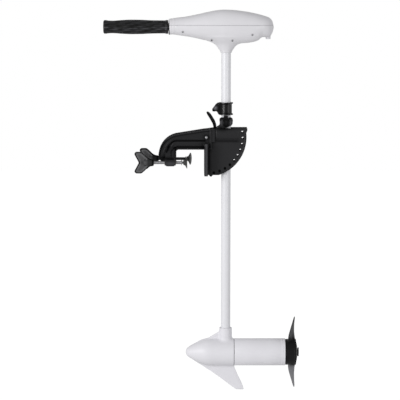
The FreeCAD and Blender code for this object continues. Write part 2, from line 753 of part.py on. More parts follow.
def tilt_lock():
    """Release lever, its pin, the pull rod and the two lock pins."""
    pin_x, pin_z = lock_place()
    for name, side in SIDES.items():
        start = -s.pin_rest if side == NEAR else s.pin_rest - s.pin_long
        node(f"lock_pin_{name}",
             rod(f"LockPin_{name}", s.pin_radius, s.pin_long, (pin_x, start, pin_z), "Y"))
    wedge_long = 6.0
    rod_low = pin_z + s.pin_radius + 2.0
    shank = rod("PullShank", s.rod_radius, s.lever_pivot_z - 6.0 - rod_low - wedge_long,
                (pin_x, 0.0, rod_low + wedge_long))
    wedge = cone("PullWedge", (s.rod_radius * 0.35, s.rod_radius), wedge_long,
                 (pin_x, 0.0, rod_low))
    node("lock_pull_rod", fuse("LockPullRod", [shank, wedge]))
    node("lever_pin", rod("LeverPin", s.lever_pin - s.running_gap, s.hinge_half * 2,
                          (s.lever_pivot_x, -s.hinge_half, s.lever_pivot_z), "Y"))
    node("tilt_release_lever", release_lever())


def release_lever():
    """Flat hand lever that leans towards the boat, slightly hooked at its top."""
    body = new_body("ReleaseLever")
    side = sketch_on(body, "LeverSide", "XZ_Plane", -s.lever_wide / 2)
    half = s.lever_thick / 2
    lean = s.lever_lean
    long = s.lever_long
    outline(side, [
        (-half, 0.0, -half * 1.05), (half, 0.0), (half, long * 0.12),
        (half - lean * 0.32, long * 0.5), (half - lean + 1.0, long * 0.91),
        (-lean - 1.0, long * 0.94), (-half - lean, long * 0.9),
        (-half - lean * 0.45, long * 0.5), (-half, long * 0.14)])
    pad(body, side, s.lever_wide)
    bore = sketch_on(body, "LeverBore", "XZ_Plane", -s.lever_wide / 2)
    circle(bore, 0.0, 0.0, s.lever_pin)
    pocket(body, bore, s.lever_wide)
    place(body, (s.lever_pivot_x, 0.0, s.lever_pivot_z))
    return body


def tension_parts():
    """Steering-tension knob with its stud, and the brake shoe that it presses on the shaft."""
    front = -s.tension_front
    shoe_back = s.shaft_radius + 0.8
    shoe = rod("ShoeBlank", s.shoe_radius, s.shoe_long,
               (s.shaft_across, -shoe_back - s.shoe_long, s.tension_high), "Y")
    hollow = rod("ShoeHollow", s.shaft_radius + 0.4, s.shoe_radius * 4,
                 (s.shaft_across, 0.0, s.tension_high - s.shoe_radius * 2))
    node("steering_brake_shoe", cut("BrakeShoe", shoe, [hollow]))
    body = lobed_knob("TensionKnob", s.tension_radius, s.tension_deep, 2)
    place(body, (s.shaft_across, front, s.tension_high), TURNS["Y"] * Rotation(Vector(1, 0, 0), 180))
    node("steering_tension_knob", body)
    stud_end = shoe_back + s.shoe_long
    node("tension_stud", rod("TensionStud", s.stud_radius, s.tension_front - stud_end + 6.0,
                             (s.shaft_across, front - 6.0, s.tension_high), "Y"))


def lobed_knob(name, radius, deep, lobes):
    """Hand knob with wide finger hollows; it grows along its own Z from the mating face."""
    body = new_body(name)
    disc = sketch_on(body, name + "Disc", "XY_Plane")
    circle(disc, 0.0, 0.0, radius)
    pad(body, disc, deep)
    hollow_sketch = sketch_on(body, name + "Hollow", "XY_Plane", -1.0)
    circle(hollow_sketch, 0.0, radius * 1.38, radius * 0.62)
    hollow = pocket(body, hollow_sketch, deep + 2.0)
    doc.recompute()
    pattern = body.newObject("PartDesign::PolarPattern", name + "Lobes")
    pattern.Originals = [hollow]
    pattern.Axis = (hollow_sketch, ["N_Axis"])
    pattern.Angle = 360.0
    pattern.Occurrences = lobes
    body.Tip = pattern
    socket = sketch_on(body, name + "Socket", "XY_Plane", -1.0)
    circle(socket, 0.0, 0.0, s.stud_radius)
    pocket(body, socket, 7.0)
    top = deep.number

    def top_edge(middle, edge):
        return abs(middle.z - top) < 0.01

    fillet_edges(body, name + "Round", 2.0, top_edge)
    return body


# Depth collar

def depth_collar():
    """Split collar that sets the running depth, with flanges, ribs and a thumb-screw boss."""
    body = new_body("DepthCollar")
    bore = s.shaft_radius + s.running_gap
    profile = sketch_on(body, "CollarProfile", "XZ_Plane")
    outline(profile, [
        (bore, s.collar_low), (s.collar_flange, s.collar_low),
        (s.collar_flange, s.collar_low + s.flange_thick),
        (s.collar_radius, s.collar_low + s.flange_thick * 2),
        (s.collar_radius, s.collar_high - s.flange_thick * 2),
        (s.collar_flange, s.collar_high - s.flange_thick),
        (s.collar_flange, s.collar_high), (bore, s.collar_high)])
    spin = body.newObject("PartDesign::Revolution", "CollarSpin")
    spin.Profile = profile
    spin.ReferenceAxis = (profile, ["V_Axis"])
    boss = sketch_on(body, "ThumbBoss", "YZ_Plane", -(s.shaft_across - s.thumb_tip) - 3.0)
    circle(boss, 0.0, s.thumb_high, s.thumb_radius - 2.0)
    pad(body, boss, 10.0)
    shaft_bore = sketch_on(body, "CollarBore", "XY_Plane", s.collar_low - 1.0)
    circle(shaft_bore, 0.0, 0.0, bore)
    pocket(body, shaft_bore, s.collar_high - s.collar_low + 2.0)
    stud_bore = sketch_on(body, "StudBore", "YZ_Plane", -s.shaft_across)
    circle(stud_bore, 0.0, s.thumb_high, s.stud_radius + s.running_gap)
    pocket(body, stud_bore, s.shaft_across)
    place(body, (s.shaft_across, 0.0, 0.0))
    node("depth_collar", body)


def collar_thumb_screw():
    """Tapered thumb knob on a stud whose end bears on the shaft."""
    root = -(s.shaft_across - s.thumb_tip) - 3.4
    knob = turned("ThumbKnob", [
        (root, 0.0), (root, s.thumb_radius), (root - 5.0, s.thumb_radius + 1.5),
        (root - 14.0, 8.0), (root - 17.2, 5.0), (root - 17.2, 0.0)],
        "X", (s.shaft_across, 0.0, s.thumb_high))
    flutes = []
    for index in range(6):
        angle = math.radians(60 * index + 30)
        flutes.append(rod(f"ThumbFlute{index}", s.thumb_radius * 0.33, 30.0, (
            s.shaft_across + root - 25.0,
            s.thumb_radius * (1.22 * math.cos(angle)),
            s.thumb_high + s.thumb_radius * (1.22 * math.sin(angle))), "X"))
    tip = s.shaft_radius + 0.4
    stud = rod("ThumbStud", s.stud_radius, -root - tip,
               (s.shaft_across + root, 0.0, s.thumb_high), "X")
    node("depth_thumb_screw",
         fuse("DepthThumbScrew", [cut("ThumbKnobFluted", knob, flutes), stud]))


# Shaft and control head

def shaft_tube():
    length = s.shaft_top + s.shaft_low
    outer = rod("ShaftOuter", s.shaft_radius, length, (s.shaft_across, 0.0, -s.shaft_low))
    bore = rod("ShaftBoreTool", s.shaft_bore, length, (s.shaft_across, 0.0, -s.shaft_low))
    node("shaft_tube", cut("ShaftTube", outer, [bore]))


def head_section(station, inset):
    """Closed smooth section across the head: two half ovals that meet on the widest line."""
    across, top, split, low, half = station
    squareness = 2.3
    count = 20
    points = []
    for index in range(count):
        angle = 2 * math.pi * index / count
        side = math.copysign(abs(math.cos(angle)) ** (2 / squareness), math.cos(angle))
        rise = math.copysign(abs(math.sin(angle)) ** (2 / squareness), math.sin(angle))
        height = (top - split if rise > 0 else split - low) - inset
        points.append(Vector(across, side * (half - inset), split + rise * height))
    curve = Part.BSplineCurve()
    curve.interpolate(points, PeriodicFlag=True)
    return Part.Wire([curve.toShape()])


def head_loft(inset):
    stations = HEAD_STATIONS if inset == 0.0 else HEAD_STATIONS[:-1]
    wires = [head_section(station, inset) for station in stations]
    return Part.makeLoft(wires, True, False)


def smooth_spin(points, axis_point, axis, closing):
    """Revolve a smooth curve, closed by straight lines through the closing points."""
    curve = Part.BSplineCurve()
    curve.interpolate([Vector(*p) for p in points])
    edges = [curve.toShape()]
    chain = [Vector(*points[-1])] + [Vector(*p) for p in closing] + [Vector(*points[0])]
    for start, end in zip(chain, chain[1:]):
        edges.append(Part.LineSegment(start, end).toShape())
    face = Part.Face(Part.Wire(edges))
    return face.revolve(Vector(*axis_point), Vector(*axis), 360)


def head_flare():
    """Trumpet under the head that grips the shaft, longer fore and aft than across."""
    centre = s.shaft_across.number
    low = s.flare_low.number
    inner = s.flare_radius.number
    rings = ((0.0, 0.0, 0.0), (7.0, 3.6, 2.6), (16.0, 10.5, 6.5), (25.0, 20.0, 10.5),
             (31.0, 27.0, 13.5), (44.0, 34.0, 16.0))
    wires = []
    for rise, more_long, more_wide in rings:
        oval = Part.Ellipse(Vector(centre, 0, low + rise), inner + more_long + 0.001,
                            inner + more_wide)
        wires.append(Part.Wire([oval.toShape()]))
    return Part.makeLoft(wires, True, False)


def head_shells():
    """Upper and lower halves of the control head, with the bores that they share."""
    wall = s.head_wall.number
    split = s.head_split.number
    centre = s.shaft_across.number
    outer = head_loft(0.0)
    hollow = head_loft(wall)
    flare = head_flare()
    socket = Part.makeCylinder(
        s.shaft_radius.number + 4.0, s.shaft_top.number - s.flare_low.number - 2.0,
        Vector(centre, 0, s.flare_low.number))
    grip_bore = Part.makeCylinder(
        s.neck_ring_radius.number - wall, 40.0,
        Vector(-s.handle_mouth.number - 30.0, 0, s.handle_high.number), Vector(1, 0, 0))
    shaft_bore = Part.makeCylinder(
        s.shaft_radius.number, s.shaft_top.number - s.flare_low.number + 6.0,
        Vector(centre, 0, s.flare_low.number - 3.0))
    gland_bump = Part.makeCylinder(
        s.gland_radius.number, split - s.gland_low.number - 12.0,
        Vector(s.gland_across.number, 0, s.gland_low.number))
    gland_bore = Part.makeCylinder(
        s.gland_radius.number - 1.5, 60.0,
        Vector(s.gland_across.number, 0, s.gland_low.number - 10.0))
    solid = outer.fuse([flare, gland_bump])
    hollowed = solid.cut([hollow, grip_bore])
    with_socket = hollowed.fuse([socket] + switch_posts())
    bored = with_socket.cut([shaft_bore, gland_bore])
    slab = 200.0
    reach = 600.0
    above = Part.makeBox(reach, reach, slab, Vector(-reach / 2, -reach / 2, split))
    below = Part.makeBox(reach, reach, slab, Vector(-reach / 2, -reach / 2, split - slab))
    screws = screw_tools("bore")
    node("head_upper_shell", feature("HeadUpper", largest(bored.common(above))))
    node("head_lower_shell", feature("HeadLower", largest(bored.common(below).cut(screws))))
    node("head_screws", feature("HeadScrews", Part.makeCompound(screw_tools("screw"))))


def switch_posts():
    """Two posts that the speed switch stands on."""
    seat = s.handle_high.number - 26.0
    low = s.flare_low.number + 30.0
    first = s.switch_front.number + 4.0
    return [Part.makeCylinder(5.0, seat - low, Vector(across, 0, low))
            for across in (first, first + 26.0)]


def largest(shape):
    """The biggest solid of a shape, cleaned of seams."""
    return max(shape.Solids, key=lambda solid: solid.Volume).removeSplitter()


HEAD_SCREW_PLACES = ((-63.0, 16.0), (23.0, 25.0), (143.0, 24.0))


def screw_tools(kind):
    """Six upright screws near the edge of the lower shell, or the recesses that they sit in."""
    tools = []
    for across, out in HEAD_SCREW_PLACES:
        for side in SIDES.values():
            under = head_underside(across, out)
            seat = under + 5.0
            if kind == "bore":
                tools.append(Part.makeCylinder(4.0, 20.0, Vector(across, side * out, seat - 20.0)))
            else:
                head = Part.makeCylinder(3.4, 2.2, Vector(across, side * out, seat - 2.2))
                slot = Part.makeBox(5.0, 1.0, 1.2, Vector(across - 2.5, side * out - 0.5, seat - 2.4))
                tools.append(head.cut(slot))
    return tools


def head_underside(across, out):
    """Height of the head's underside at a place beside its middle."""
    line = Part.LineSegment(Vector(across, out, 300.0), Vector(across, out, 395.0)).toShape()
    return min(v.Z for v in line.common(head_loft(0.0)).Vertexes)


def handle_parts():
    """Neck ring, twist tube, telescoping tube, rubber grip and end cap along the handle axis."""
    high = s.handle_high
    ring = turned("NeckRing", [
        (0.0, s.handle_radius + 0.3), (0.0, s.neck_ring_radius - 1.5),
        (1.5, s.neck_ring_radius), (s.neck_ring_long - 6.0, s.neck_ring_radius),
        (s.neck_ring_long - 6.0, s.neck_ring_radius - 3.1),
        (s.neck_ring_long, s.neck_ring_radius - 3.1),
        (s.neck_ring_long, s.handle_radius + 0.3)], "X",
        (-s.handle_mouth + 0.5, 0.0, high))
    node("handle_neck_ring", ring)
    tube_long = s.handle_mouth + s.switch_front - 14.0
    tube = rod("TwistTubeBlank", s.handle_radius, tube_long, (-s.handle_mouth, 0.0, high), "X")
    tube_bore = rod("TwistTubeBore", s.handle_bore, tube_long - 4.0,
                    (-s.handle_mouth, 0.0, high), "X")
    node("handle_twist_tube", cut("TwistTube", tube, [tube_bore]))
    inner_radius = s.handle_bore - 0.06
    inner_long = s.grip_back - 6.0 + 70.0
    inner = rod("SlideTubeBlank", inner_radius, inner_long, (-s.grip_back + 6.0, 0.0, high), "X")
    inner_bore = rod("SlideTubeBore", inner_radius - 2.0, inner_long,
                     (-s.grip_back + 6.0, 0.0, high), "X")
    node("handle_slide_tube", cut("SlideTube", inner, [inner_bore]))
    node("twist_grip", twist_grip())
    cap = turned("GripCap", [
        (0.0, 0.0), (0.0, inner_radius - 2.0), (3.0, inner_radius - 2.0), (12.0, 0.0)],
        "X", (-s.grip_back + 6.0, 0.0, high))
    node("grip_plug", cap)


def twist_grip():
    """Rubber grip: rounded end, a waist, a swollen palm and a small flange at the head."""
    start = -s.grip_back.number
    high = s.handle_high.number
    bore = s.handle_bore.number - 0.06
    end = -s.grip_front.number
    outer = [(start + 0.8, 0, high + 17.0), (start + 4.0, 0, high + 20.3),
             (start + 14.0, 0, high + 19.4), (start + 28.0, 0, high + 18.2),
             (start + 55.0, 0, high + 20.3), (start + 82.0, 0, high + 21.6),
             (start + 110.0, 0, high + 21.2), (start + 150.0, 0, high + 19.2),
             (end - 4.0, 0, high + 19.2)]
    closing = [(end - 3.0, 0, high + 20.4), (end, 0, high + 20.4), (end, 0, high + bore),
               (start + 6.0, 0, high + bore), (start + 6.0, 0, high), (start, 0, high),
               (start, 0, high + 12.0)]
    return feature("TwistGrip", smooth_spin(outer, (0, 0, high), (1, 0, 0), closing))


def switch_parts():
    """Speed switch inside the head, its rotor on the twist tube, and the leads to the motor."""
    front = s.switch_front
    high = s.handle_high
    rotor_disc = rod("RotorDisc", s.handle_radius + 4.0, 8.0, (front - 14.0, 0.0, high), "X")
    rotor_stub = rod("RotorStub", s.axle_radius, 12.0, (front - 6.0, 0.0, high), "X")
    node("switch_rotor", fuse("SwitchRotor", [rotor_disc, rotor_stub]))
    case_half = 19.0
    case = box("SwitchCaseBlank", (front - 5.4, -case_half, high - 26.0),
               (s.switch_long, case_half * 2, 46.0))
    well = rod("SwitchWell", s.axle_radius + s.running_gap, 12.6, (front - 5.4, 0.0, high), "X")
    node("speed_switch", cut("SpeedSwitch", case, [well]))
    node("motor_leads", feature("MotorLeads", Part.makeCompound(
        [lead(out) for out in (-6.0, 0.0, 6.0)])))


def lead(out):
    """One insulated lead: from the switch, down the shaft, to the brush plate."""
    wire_radius = 1.9
    bend = 11.0
    centre = s.shaft_across.number
    upper = s.handle_high.number - 22.0
    lower = -s.motor_high.number + 24.0
    start = s.switch_front.number - 5.4
    end = BRUSH_PLATE_FRONT
    corner = bend * (1 - math.sqrt(0.5))
    points = [Vector(start, out, upper), Vector(centre + bend, out, upper),
              Vector(centre, out, upper - bend), Vector(centre, out, lower + bend),
              Vector(centre + bend, out, lower), Vector(end, out, lower)]
    edges = [
        Part.LineSegment(points[0], points[1]).toShape(),
        Part.Arc(points[1], Vector(centre + corner, out, upper - corner), points[2]).toShape(),
        Part.LineSegment(points[2], points[3]).toShape(),
        Part.Arc(points[3], Vector(centre + corner, out, lower + corner), points[4]).toShape(),
        Part.LineSegment(points[4], points[5]).toShape()]
    ring = Part.Wire([Part.Circle(points[0], Vector(1, 0, 0), wire_radius).toShape()])
    return Part.Wire(edges).makePipeShell([ring], True, True)


def cable_gland():
    """Rubber gland for the battery cable in the underside of the tail."""
    low = s.gland_low
    node("cable_gland", turned("CableGland", [
        (low - 3.0, s.cable_radius), (low - 3.0, s.gland_radius - 1.6),
        (low, s.gland_radius - 1.6), (low + 9.0, s.gland_radius - 1.6),
        (low + 9.0, s.cable_radius)], "Z", (s.gland_across, 0.0, 0.0)))


# Lower unit

BRUSH_PLATE_FRONT = 88.0


def nose_housing():
    """Front casting: ogive nose, socket for the shaft, fairing web and skeg."""
    high = -s.motor_high.number
    radius = s.motor_radius.number
    tip = -s.nose_tip.number
    seam = s.seam_across.number - 0.6
    nose = smooth_spin(
        [(tip, 0, high), (tip + 2.0, 0, high + 8.0), (tip + 5.5, 0, high + 13.6),
         (tip + 15.0, 0, high + 20.2), (tip + 33.0, 0, high + 30.5),
         (tip + 54.0, 0, high + 37.5), (tip + 76.5, 0, high + radius)],
        (0, 0, high), (1, 0, 0), [(seam, 0, high + radius), (seam, 0, high)])
    centre = s.shaft_across.number
    top = -s.socket_top.number
    socket = Part.makeCylinder(s.socket_radius.number, top - high, Vector(centre, 0, high))
    shell = nose.fuse([socket, fairing_web(), skeg()])
    bores = [
        Part.makeCylinder(s.shaft_radius.number, top - high, Vector(
            centre, 0, -s.shaft_low.number)),
        Part.makeCylinder(s.shaft_bore.number - 1.0, 20.0, Vector(
            centre, 0, -s.shaft_low.number - 18.0)),
        Part.makeCylinder(s.motor_bore.number, 58.0, Vector(33.0, 0, high), Vector(1, 0, 0)),
        Part.makeCylinder(9.0, 14.0, Vector(20.0, 0, high), Vector(1, 0, 0))]
    bores += [
        Part.makeCylinder(2.0, 20.0, Vector(
            s.seam_across.number - 66.0, side * (s.motor_bore.number - 5.0), high), Vector(1, 0, 0))
        for side in SIDES.values()]
    node("nose_housing", feature("NoseHousing", largest(shell.cut(bores))))


def flat_plate(points, thick):
    """An upright plate of even thickness about the middle plane, from (X, Z) corners."""
    corners = [Vector(x, -thick / 2, z) for x, z in points]
    face = Part.Face(Part.makePolygon(corners + corners[:1]))
    return face.extrude(Vector(0, thick, 0))


def fairing_web():
    high = -s.motor_high.number
    top = -s.socket_top.number
    centre = s.shaft_across.number
    points = [(-30.0, high + 20.0), (-8.0, high + 35.5), (12.0, high + 44.0),
              (28.0, high + 53.5), (44.0, high + 63.5), (centre - 12.0, top - 7.0),
              (centre, high + 40.0), (centre, high + 20.0)]
    plate = flat_plate(points, s.web_fin_thick.number)
    edges = [e for e in plate.Edges if abs(e.CenterOfMass.y) > 3.9 and along_top(e)]
    return plate.makeFillet(s.web_fin_thick.number * 0.42, edges)


def along_top(edge):
    """True for the long sloping edges above the nose."""
    middle = edge.CenterOfMass
    return -10.0 < middle.x < 50.0 and middle.z > -s.motor_high.number + 38.0


def skeg():
    """Swept fin under the nose, thin at its edges."""
    high = -s.motor_high.number
    low = -s.skeg_low.number
    points = [(-24.0, high - 24.0), (-12.0, high - 36.5), (4.0, high - 49.0),
              (40.0, high - 74.0), (78.0, high - 102.8), (99.0, low), (121.0, low),
              (122.5, low + 4.5), (103.0, high - 73.5), (90.5, high - 43.0),
              (86.0, high - 20.0)]
    plate = flat_plate(points, s.skeg_thick.number)
    edges = [e for e in plate.Edges
             if abs(e.CenterOfMass.y) > 3.0 and e.CenterOfMass.z < high - 44.0]
    return plate.makeChamfer(s.skeg_thick.number * 0.3, edges)


def motor_shell():
    """Steel tube, rear end bell with its groove, and the two long bolts that tie them."""
    high = -s.motor_high
    start = s.seam_across + 0.6
    tube = turned("MotorTube", [
        (start, s.motor_bore), (start, s.motor_radius - 0.8), (start + 0.8, s.motor_radius),
        (s.tube_end - 0.8, s.motor_radius), (s.tube_end, s.motor_radius - 0.8),
        (s.tube_end, s.motor_bore)], "X", (0.0, 0.0, high))
    node("motor_tube", tube)
    spigot = s.motor_bore - 0.2
    seal_bore = s.axle_radius + 5.0
    bell = turned("EndBell", [
        (s.tube_end - 6.0, seal_bore + 4.0), (s.tube_end - 6.0, spigot), (s.tube_end, spigot),
        (s.tube_end, s.motor_radius - 0.8), (s.tube_end + 0.8, s.motor_radius),
        (s.bell_end - 1.5, s.motor_radius), (s.bell_end, s.motor_radius - 1.5),
        (s.bell_end, seal_bore), (s.tube_end - 2.0, seal_bore),
        (s.tube_end - 2.0, seal_bore + 4.0)], "X", (0.0, 0.0, high))
    heads = []
    bolts = []
    circle_radius = s.motor_bore - 5.0
    bolt_start = s.seam_across - 66.0
    for name, side in SIDES.items():
        shank = rod(f"BoltShank_{name}", 2.0, s.bell_end - bolt_start - 3.0,
                    (bolt_start, side * circle_radius, high), "X")
        cap = rod(f"BoltCap_{name}", 3.4, 2.6,
                  (s.bell_end - 3.0, side * circle_radius, high), "X")
        bolts.append(fuse(f"ThroughBolt_{name}", [shank, cap]))
        heads.append(rod(f"BellHole_{name}", 2.0, 20.0,
                         (s.tube_end - 8.0, side * circle_radius, high), "X"))
        heads.append(rod(f"BellSeat_{name}", 3.6, 4.0,
                         (s.bell_end - 3.0, side * circle_radius, high), "X"))
    node("end_bell", cut("EndBellDrilled", bell, heads))
    node("through_bolts", group("ThroughBolts", bolts))
    node("housing_seals", group("HousingSeals", [seal_ring(0, s.seam_across - 0.6)]))


def seal_ring(index, start):
    """Flat ring between two housings."""
    disc = rod(f"SealDisc{index}", s.motor_radius - 1.6, 1.2, (start, 0.0, -s.motor_high), "X")
    hole = rod(f"SealHole{index}", s.motor_bore, 1.2, (start, 0.0, -s.motor_high), "X")
    return cut(f"SealRing{index}", disc, [hole])


def motor_inside():
    """Bearings, shaft seal, magnets, brush plate with brushes, and the whole rotor."""
    high = -s.motor_high
    axle_gap = s.axle_radius + s.running_gap
    front = rod("FrontBearingBlank", 9.0, 14.0, (20.0, 0.0, high), "X")
    front_bore = rod("FrontBearingBore", axle_gap, 14.0, (20.0, 0.0, high), "X")
    node("front_bearing", cut("FrontBearing", front, [front_bore]))
    seat = s.axle_radius + 9.0
    rear = rod("RearBearingBlank", seat, 4.0, (s.tube_end - 6.0, 0.0, high), "X")
    rear_bore = rod("RearBearingBore", axle_gap, 4.0, (s.tube_end - 6.0, 0.0, high), "X")
    node("rear_bearing", cut("RearBearing", rear, [rear_bore]))
    seal = rod("SealBlank", s.axle_radius + 5.0, 7.0, (s.tube_end - 1.5, 0.0, high), "X")
    seal_bore = rod("SealBore", axle_gap, 7.0, (s.tube_end - 1.5, 0.0, high), "X")
    node("shaft_seal", cut("ShaftSeal", seal, [seal_bore]))
    for name, rise in (("upper", 0.0), ("lower", 180.0)):
        node(f"magnet_{name}", magnet(name, rise))
    node("brush_plate", brush_plate())
    node("brushes", brushes())
    rotor_parts()


def magnet(name, turn):
    """Curved ceramic magnet against the inside of the tube."""
    body = new_body(f"Magnet_{name}")
    sketch = sketch_on(body, f"MagnetSection_{name}", "YZ_Plane")
    outer = s.motor_bore
    inner = s.magnet_inner
    spread = 55.0
    side_out, rise_out = outer * sine(spread), outer * cosine(spread)
    side_in, rise_in = inner * sine(spread), inner * cosine(spread)
    outline(sketch, [(-side_out, rise_out, outer), (side_out, rise_out),
                     (side_in, rise_in, -inner), (-side_in, rise_in)])
    pad(body, sketch, s.magnet_long)
    place(body, (s.stack_front - 4.0, 0.0, -s.motor_high), Rotation(Vector(1, 0, 0), turn))
    return body


def brush_plate():
    """Insulating disc in front of the armature, clear of the commutator and the long bolts."""
    high = -s.motor_high
    thick = 3.0
    disc = rod("BrushDisc", s.motor_bore - 0.1, thick, (BRUSH_PLATE_FRONT, 0.0, high), "X")
    holes = [rod("BrushHole", s.commutator_radius + 1.0, thick, (BRUSH_PLATE_FRONT, 0.0, high), "X")]
    for name, side in SIDES.items():
        holes.append(rod(f"BrushBoltHole_{name}", 2.3, thick,
                         (BRUSH_PLATE_FRONT, side * (s.motor_bore - 5.0), high), "X"))
    return cut("BrushPlate", disc, holes)


def brushes():
    """Two carbon brushes, one above and one below the commutator."""
    blocks = []
    start = BRUSH_PLATE_FRONT + 3.0
    for name, low in (("upper", s.commutator_radius + 0.1), ("lower", -s.commutator_radius - 14.1)):
        blank = box(f"BrushBlank_{name}", (start, -4.0, low - s.motor_high), (9.0, 8.0, 14.0))
        ring = rod(f"BrushFace_{name}", s.commutator_radius + s.running_gap * 2, 9.0,
                   (start, 0.0, -s.motor_high), "X")
        blocks.append(cut(f"Brush_{name}", blank, [ring]))
    return group("Brushes", blocks)


def rotor_parts():
    """Axle, armature stack, windings, commutator, drive pin and propeller nut."""
    high = -s.motor_high
    axle_start = 22.0
    pin_at = s.hub_front + 10.0
    axle = rod("AxleBlank", s.axle_radius, s.wing_nut_end - axle_start - 1.0,
               (axle_start, 0.0, high), "X")
    pin_hole = rod("AxlePinHole", 1.6, 20.0, (pin_at, -10.0, high), "Y")
    node("armature_axle", cut("ArmatureAxle", axle, [pin_hole]))
    node("drive_pin", rod("DrivePin", 1.6, 26.0, (pin_at, -13.0, high), "Y"))
    node("armature_stack", armature_stack())
    commutator = rod("CommutatorBlank", s.commutator_radius, 18.0, (86.0, 0.0, high), "X")
    bore = rod("CommutatorBore", s.axle_radius, 18.0, (86.0, 0.0, high), "X")
    node("commutator", cut("Commutator", commutator, [bore]))
    coils = []
    for index, start in enumerate((s.stack_front - 8.0, s.stack_front + s.stack_long)):
        blank = rod(f"CoilBlank{index}", s.stack_radius - 3.0, 8.0, (start, 0.0, high), "X")
        hole = rod(f"CoilBore{index}", s.axle_radius, 8.0, (start, 0.0, high), "X")
        coils.append(cut(f"Coil{index}", blank, [hole]))
    node("armature_windings", group("ArmatureWindings", coils))


def armature_stack():
    """Slotted steel core of the armature."""
    body = new_body("ArmatureStack")
    disc = sketch_on(body, "StackDisc", "YZ_Plane")
    circle(disc, 0.0, 0.0, s.stack_radius)
    circle(disc, 0.0, 0.0, s.axle_radius)
    pad(body, disc, s.stack_long)
    slot_sketch = sketch_on(body, "StackSlot", "YZ_Plane", -1.0)
    outline(slot_sketch, [(-1.5, s.stack_radius - 9.0), (1.5, s.stack_radius - 9.0),
                          (1.5, s.stack_radius + 1.0), (-1.5, s.stack_radius + 1.0)])
    slot = pocket(body, slot_sketch, s.stack_long + 2.0)
    doc.recompute()
    slots = body.newObject("PartDesign::PolarPattern", "StackSlots")
    slots.Originals = [slot]
    slots.Axis = (slot_sketch, ["N_Axis"])
    slots.Angle = 360.0
    slots.Occurrences = 12
    body.Tip = slots
    place(body, (s.stack_front, 0.0, -s.motor_high))
    return body


# Propeller

# Blade stations: radius, length of the section along the axle, place of its middle, thickness.
BLADE_STATIONS = (
    (34.0, 23.0, 267.0, 6.0),
    (48.0, 21.0, 267.6, 5.0),
    (64.0, 17.5, 270.0, 4.2),
    (80.0, 12.5, 273.0, 3.4),
    (95.0, 7.5, 275.0, 2.6),
    (109.5, 2.6, 276.0, 1.6),
)
BLADE_PITCH = 165.0


def blade_section(station):
    """Closed lens section of two arcs, turned to the pitch of the screw at its radius."""
    radius, length, middle, thick = station
    slope = math.atan(BLADE_PITCH / (2 * math.pi * radius))
    half = length / math.sin(slope) / 2

    def spot(along, off):
        return Vector(middle + along * math.sin(slope) + off * math.cos(slope),
                      along * math.cos(slope) - off * math.sin(slope), radius)

    lead, trail = spot(-half, 0.0), spot(half, 0.0)
    back = Part.Arc(lead, spot(0.0, thick * 0.8), trail).toShape()
    face = Part.Arc(trail, spot(0.0, -thick * 0.2), lead).toShape()
    return Part.Wire([back, face])


def propeller():
    """Two-bladed propeller: drum hub with a shallow domed back, bored for the axle and pin."""
    front = s.hub_front.number
    back = front + s.hub_long.number
    radius = s.hub_radius.number
    hub = smooth_spin(
        [(back, 0, radius - 1.5), (back + 1.6, 0, radius * 0.75),
         (back + s.hub_dome.number * 0.75, 0, radius * 0.42),
         (back + s.hub_dome.number, 0, 8.5)],
        (0, 0, 0), (1, 0, 0),
        [(back + s.hub_dome.number, 0, 0), (front, 0, 0), (front, 0, radius - 1.0),
         (front + 1.0, 0, radius), (back - 1.5, 0, radius)])
    blade = Part.makeLoft([blade_section(station) for station in BLADE_STATIONS], True, False)
    other = blade.copy()
    other.rotate(Vector(0, 0, 0), Vector(1, 0, 0), 180)
    solid = hub.fuse([blade, other])
    bores = [
        Part.makeCylinder(s.axle_radius.number + 0.05, 80.0, Vector(front - 5.0, 0, 0),
                          Vector(1, 0, 0)),
        Part.makeBox(11.7, 27.0, 3.4, Vector(front - 0.1, -13.5, -1.7)),
        Part.makeCylinder(radius - 4.0, 5.0, Vector(front - 0.1, 0, 0), Vector(1, 0, 0))]
    whole = feature("Propeller", largest(solid.cut(bores)))
    place(whole, (0.0, 0.0, -s.motor_high))
    node("propeller", whole)
    nut_start = s.hub_front + s.hub_long + s.hub_dome
    core = rod("PropNutCore", 7.5, s.wing_nut_end - nut_start, (nut_start, 0.0, -s.motor_high), "X")
    ears = [box(f"PropNutEar_{name}", (nut_start, -2.5, low - s.motor_high),
                (s.wing_nut_end - nut_start, 5.0, 6.5))
            for name, low in (("upper", 6.5), ("lower", -13.0))]
    hole = rod("PropNutBore", s.axle_radius, 20.0, (nut_start - 5.0, 0.0, -s.motor_high), "X")
    node("propeller_nut", cut("PropellerNut", fuse("PropNutBlank", [core] + ears), [hole]))


# Build, check and export

def build_parts():
    node("clamp_bracket", clamp_bracket())
    pivot_hardware()
    screw_inserts()
    clamp_set("near", NEAR, s.near_back)
    clamp_set("far", FAR, 0.0)
    node("hinge_block", hinge_block())
    hinge_bushings()
    tilt_lock()
    tension_parts()
    depth_collar()
    collar_thumb_screw()
    shaft_tube()
    head_shells()
    handle_parts()
    switch_parts()
    cable_gland()
    nose_housing()
    motor_shell()
    motor_inside()
    propeller()


def check_model():
    """Stop before anything is written if a feature failed or a sub-part isn't a valid solid."""
    failed = [item.Name for item in doc.Objects
              if "Invalid" in item.State or "Error" in item.State]
    if failed:
        raise RuntimeError(f"failed features: {failed}")
    for label, item in nodes.items():
        shape = item.Shape
        if shape.isNull() or not shape.isValid() or not shape.Solids or shape.Volume <= 0:
            raise RuntimeError(f"{label} isn't a valid solid")


def export_parts():
    os.makedirs("parts", exist_ok=True)
    for label, item in nodes.items():
        item.Shape.exportStep(os.path.join("parts", label + ".step"))


build_parts()
doc.recompute()
check_model()
export_parts()
print(f"{len(nodes)} sub-parts written")
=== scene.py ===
import json
import math
import bpy
import numpy as np
from mathutils import Matrix, Vector


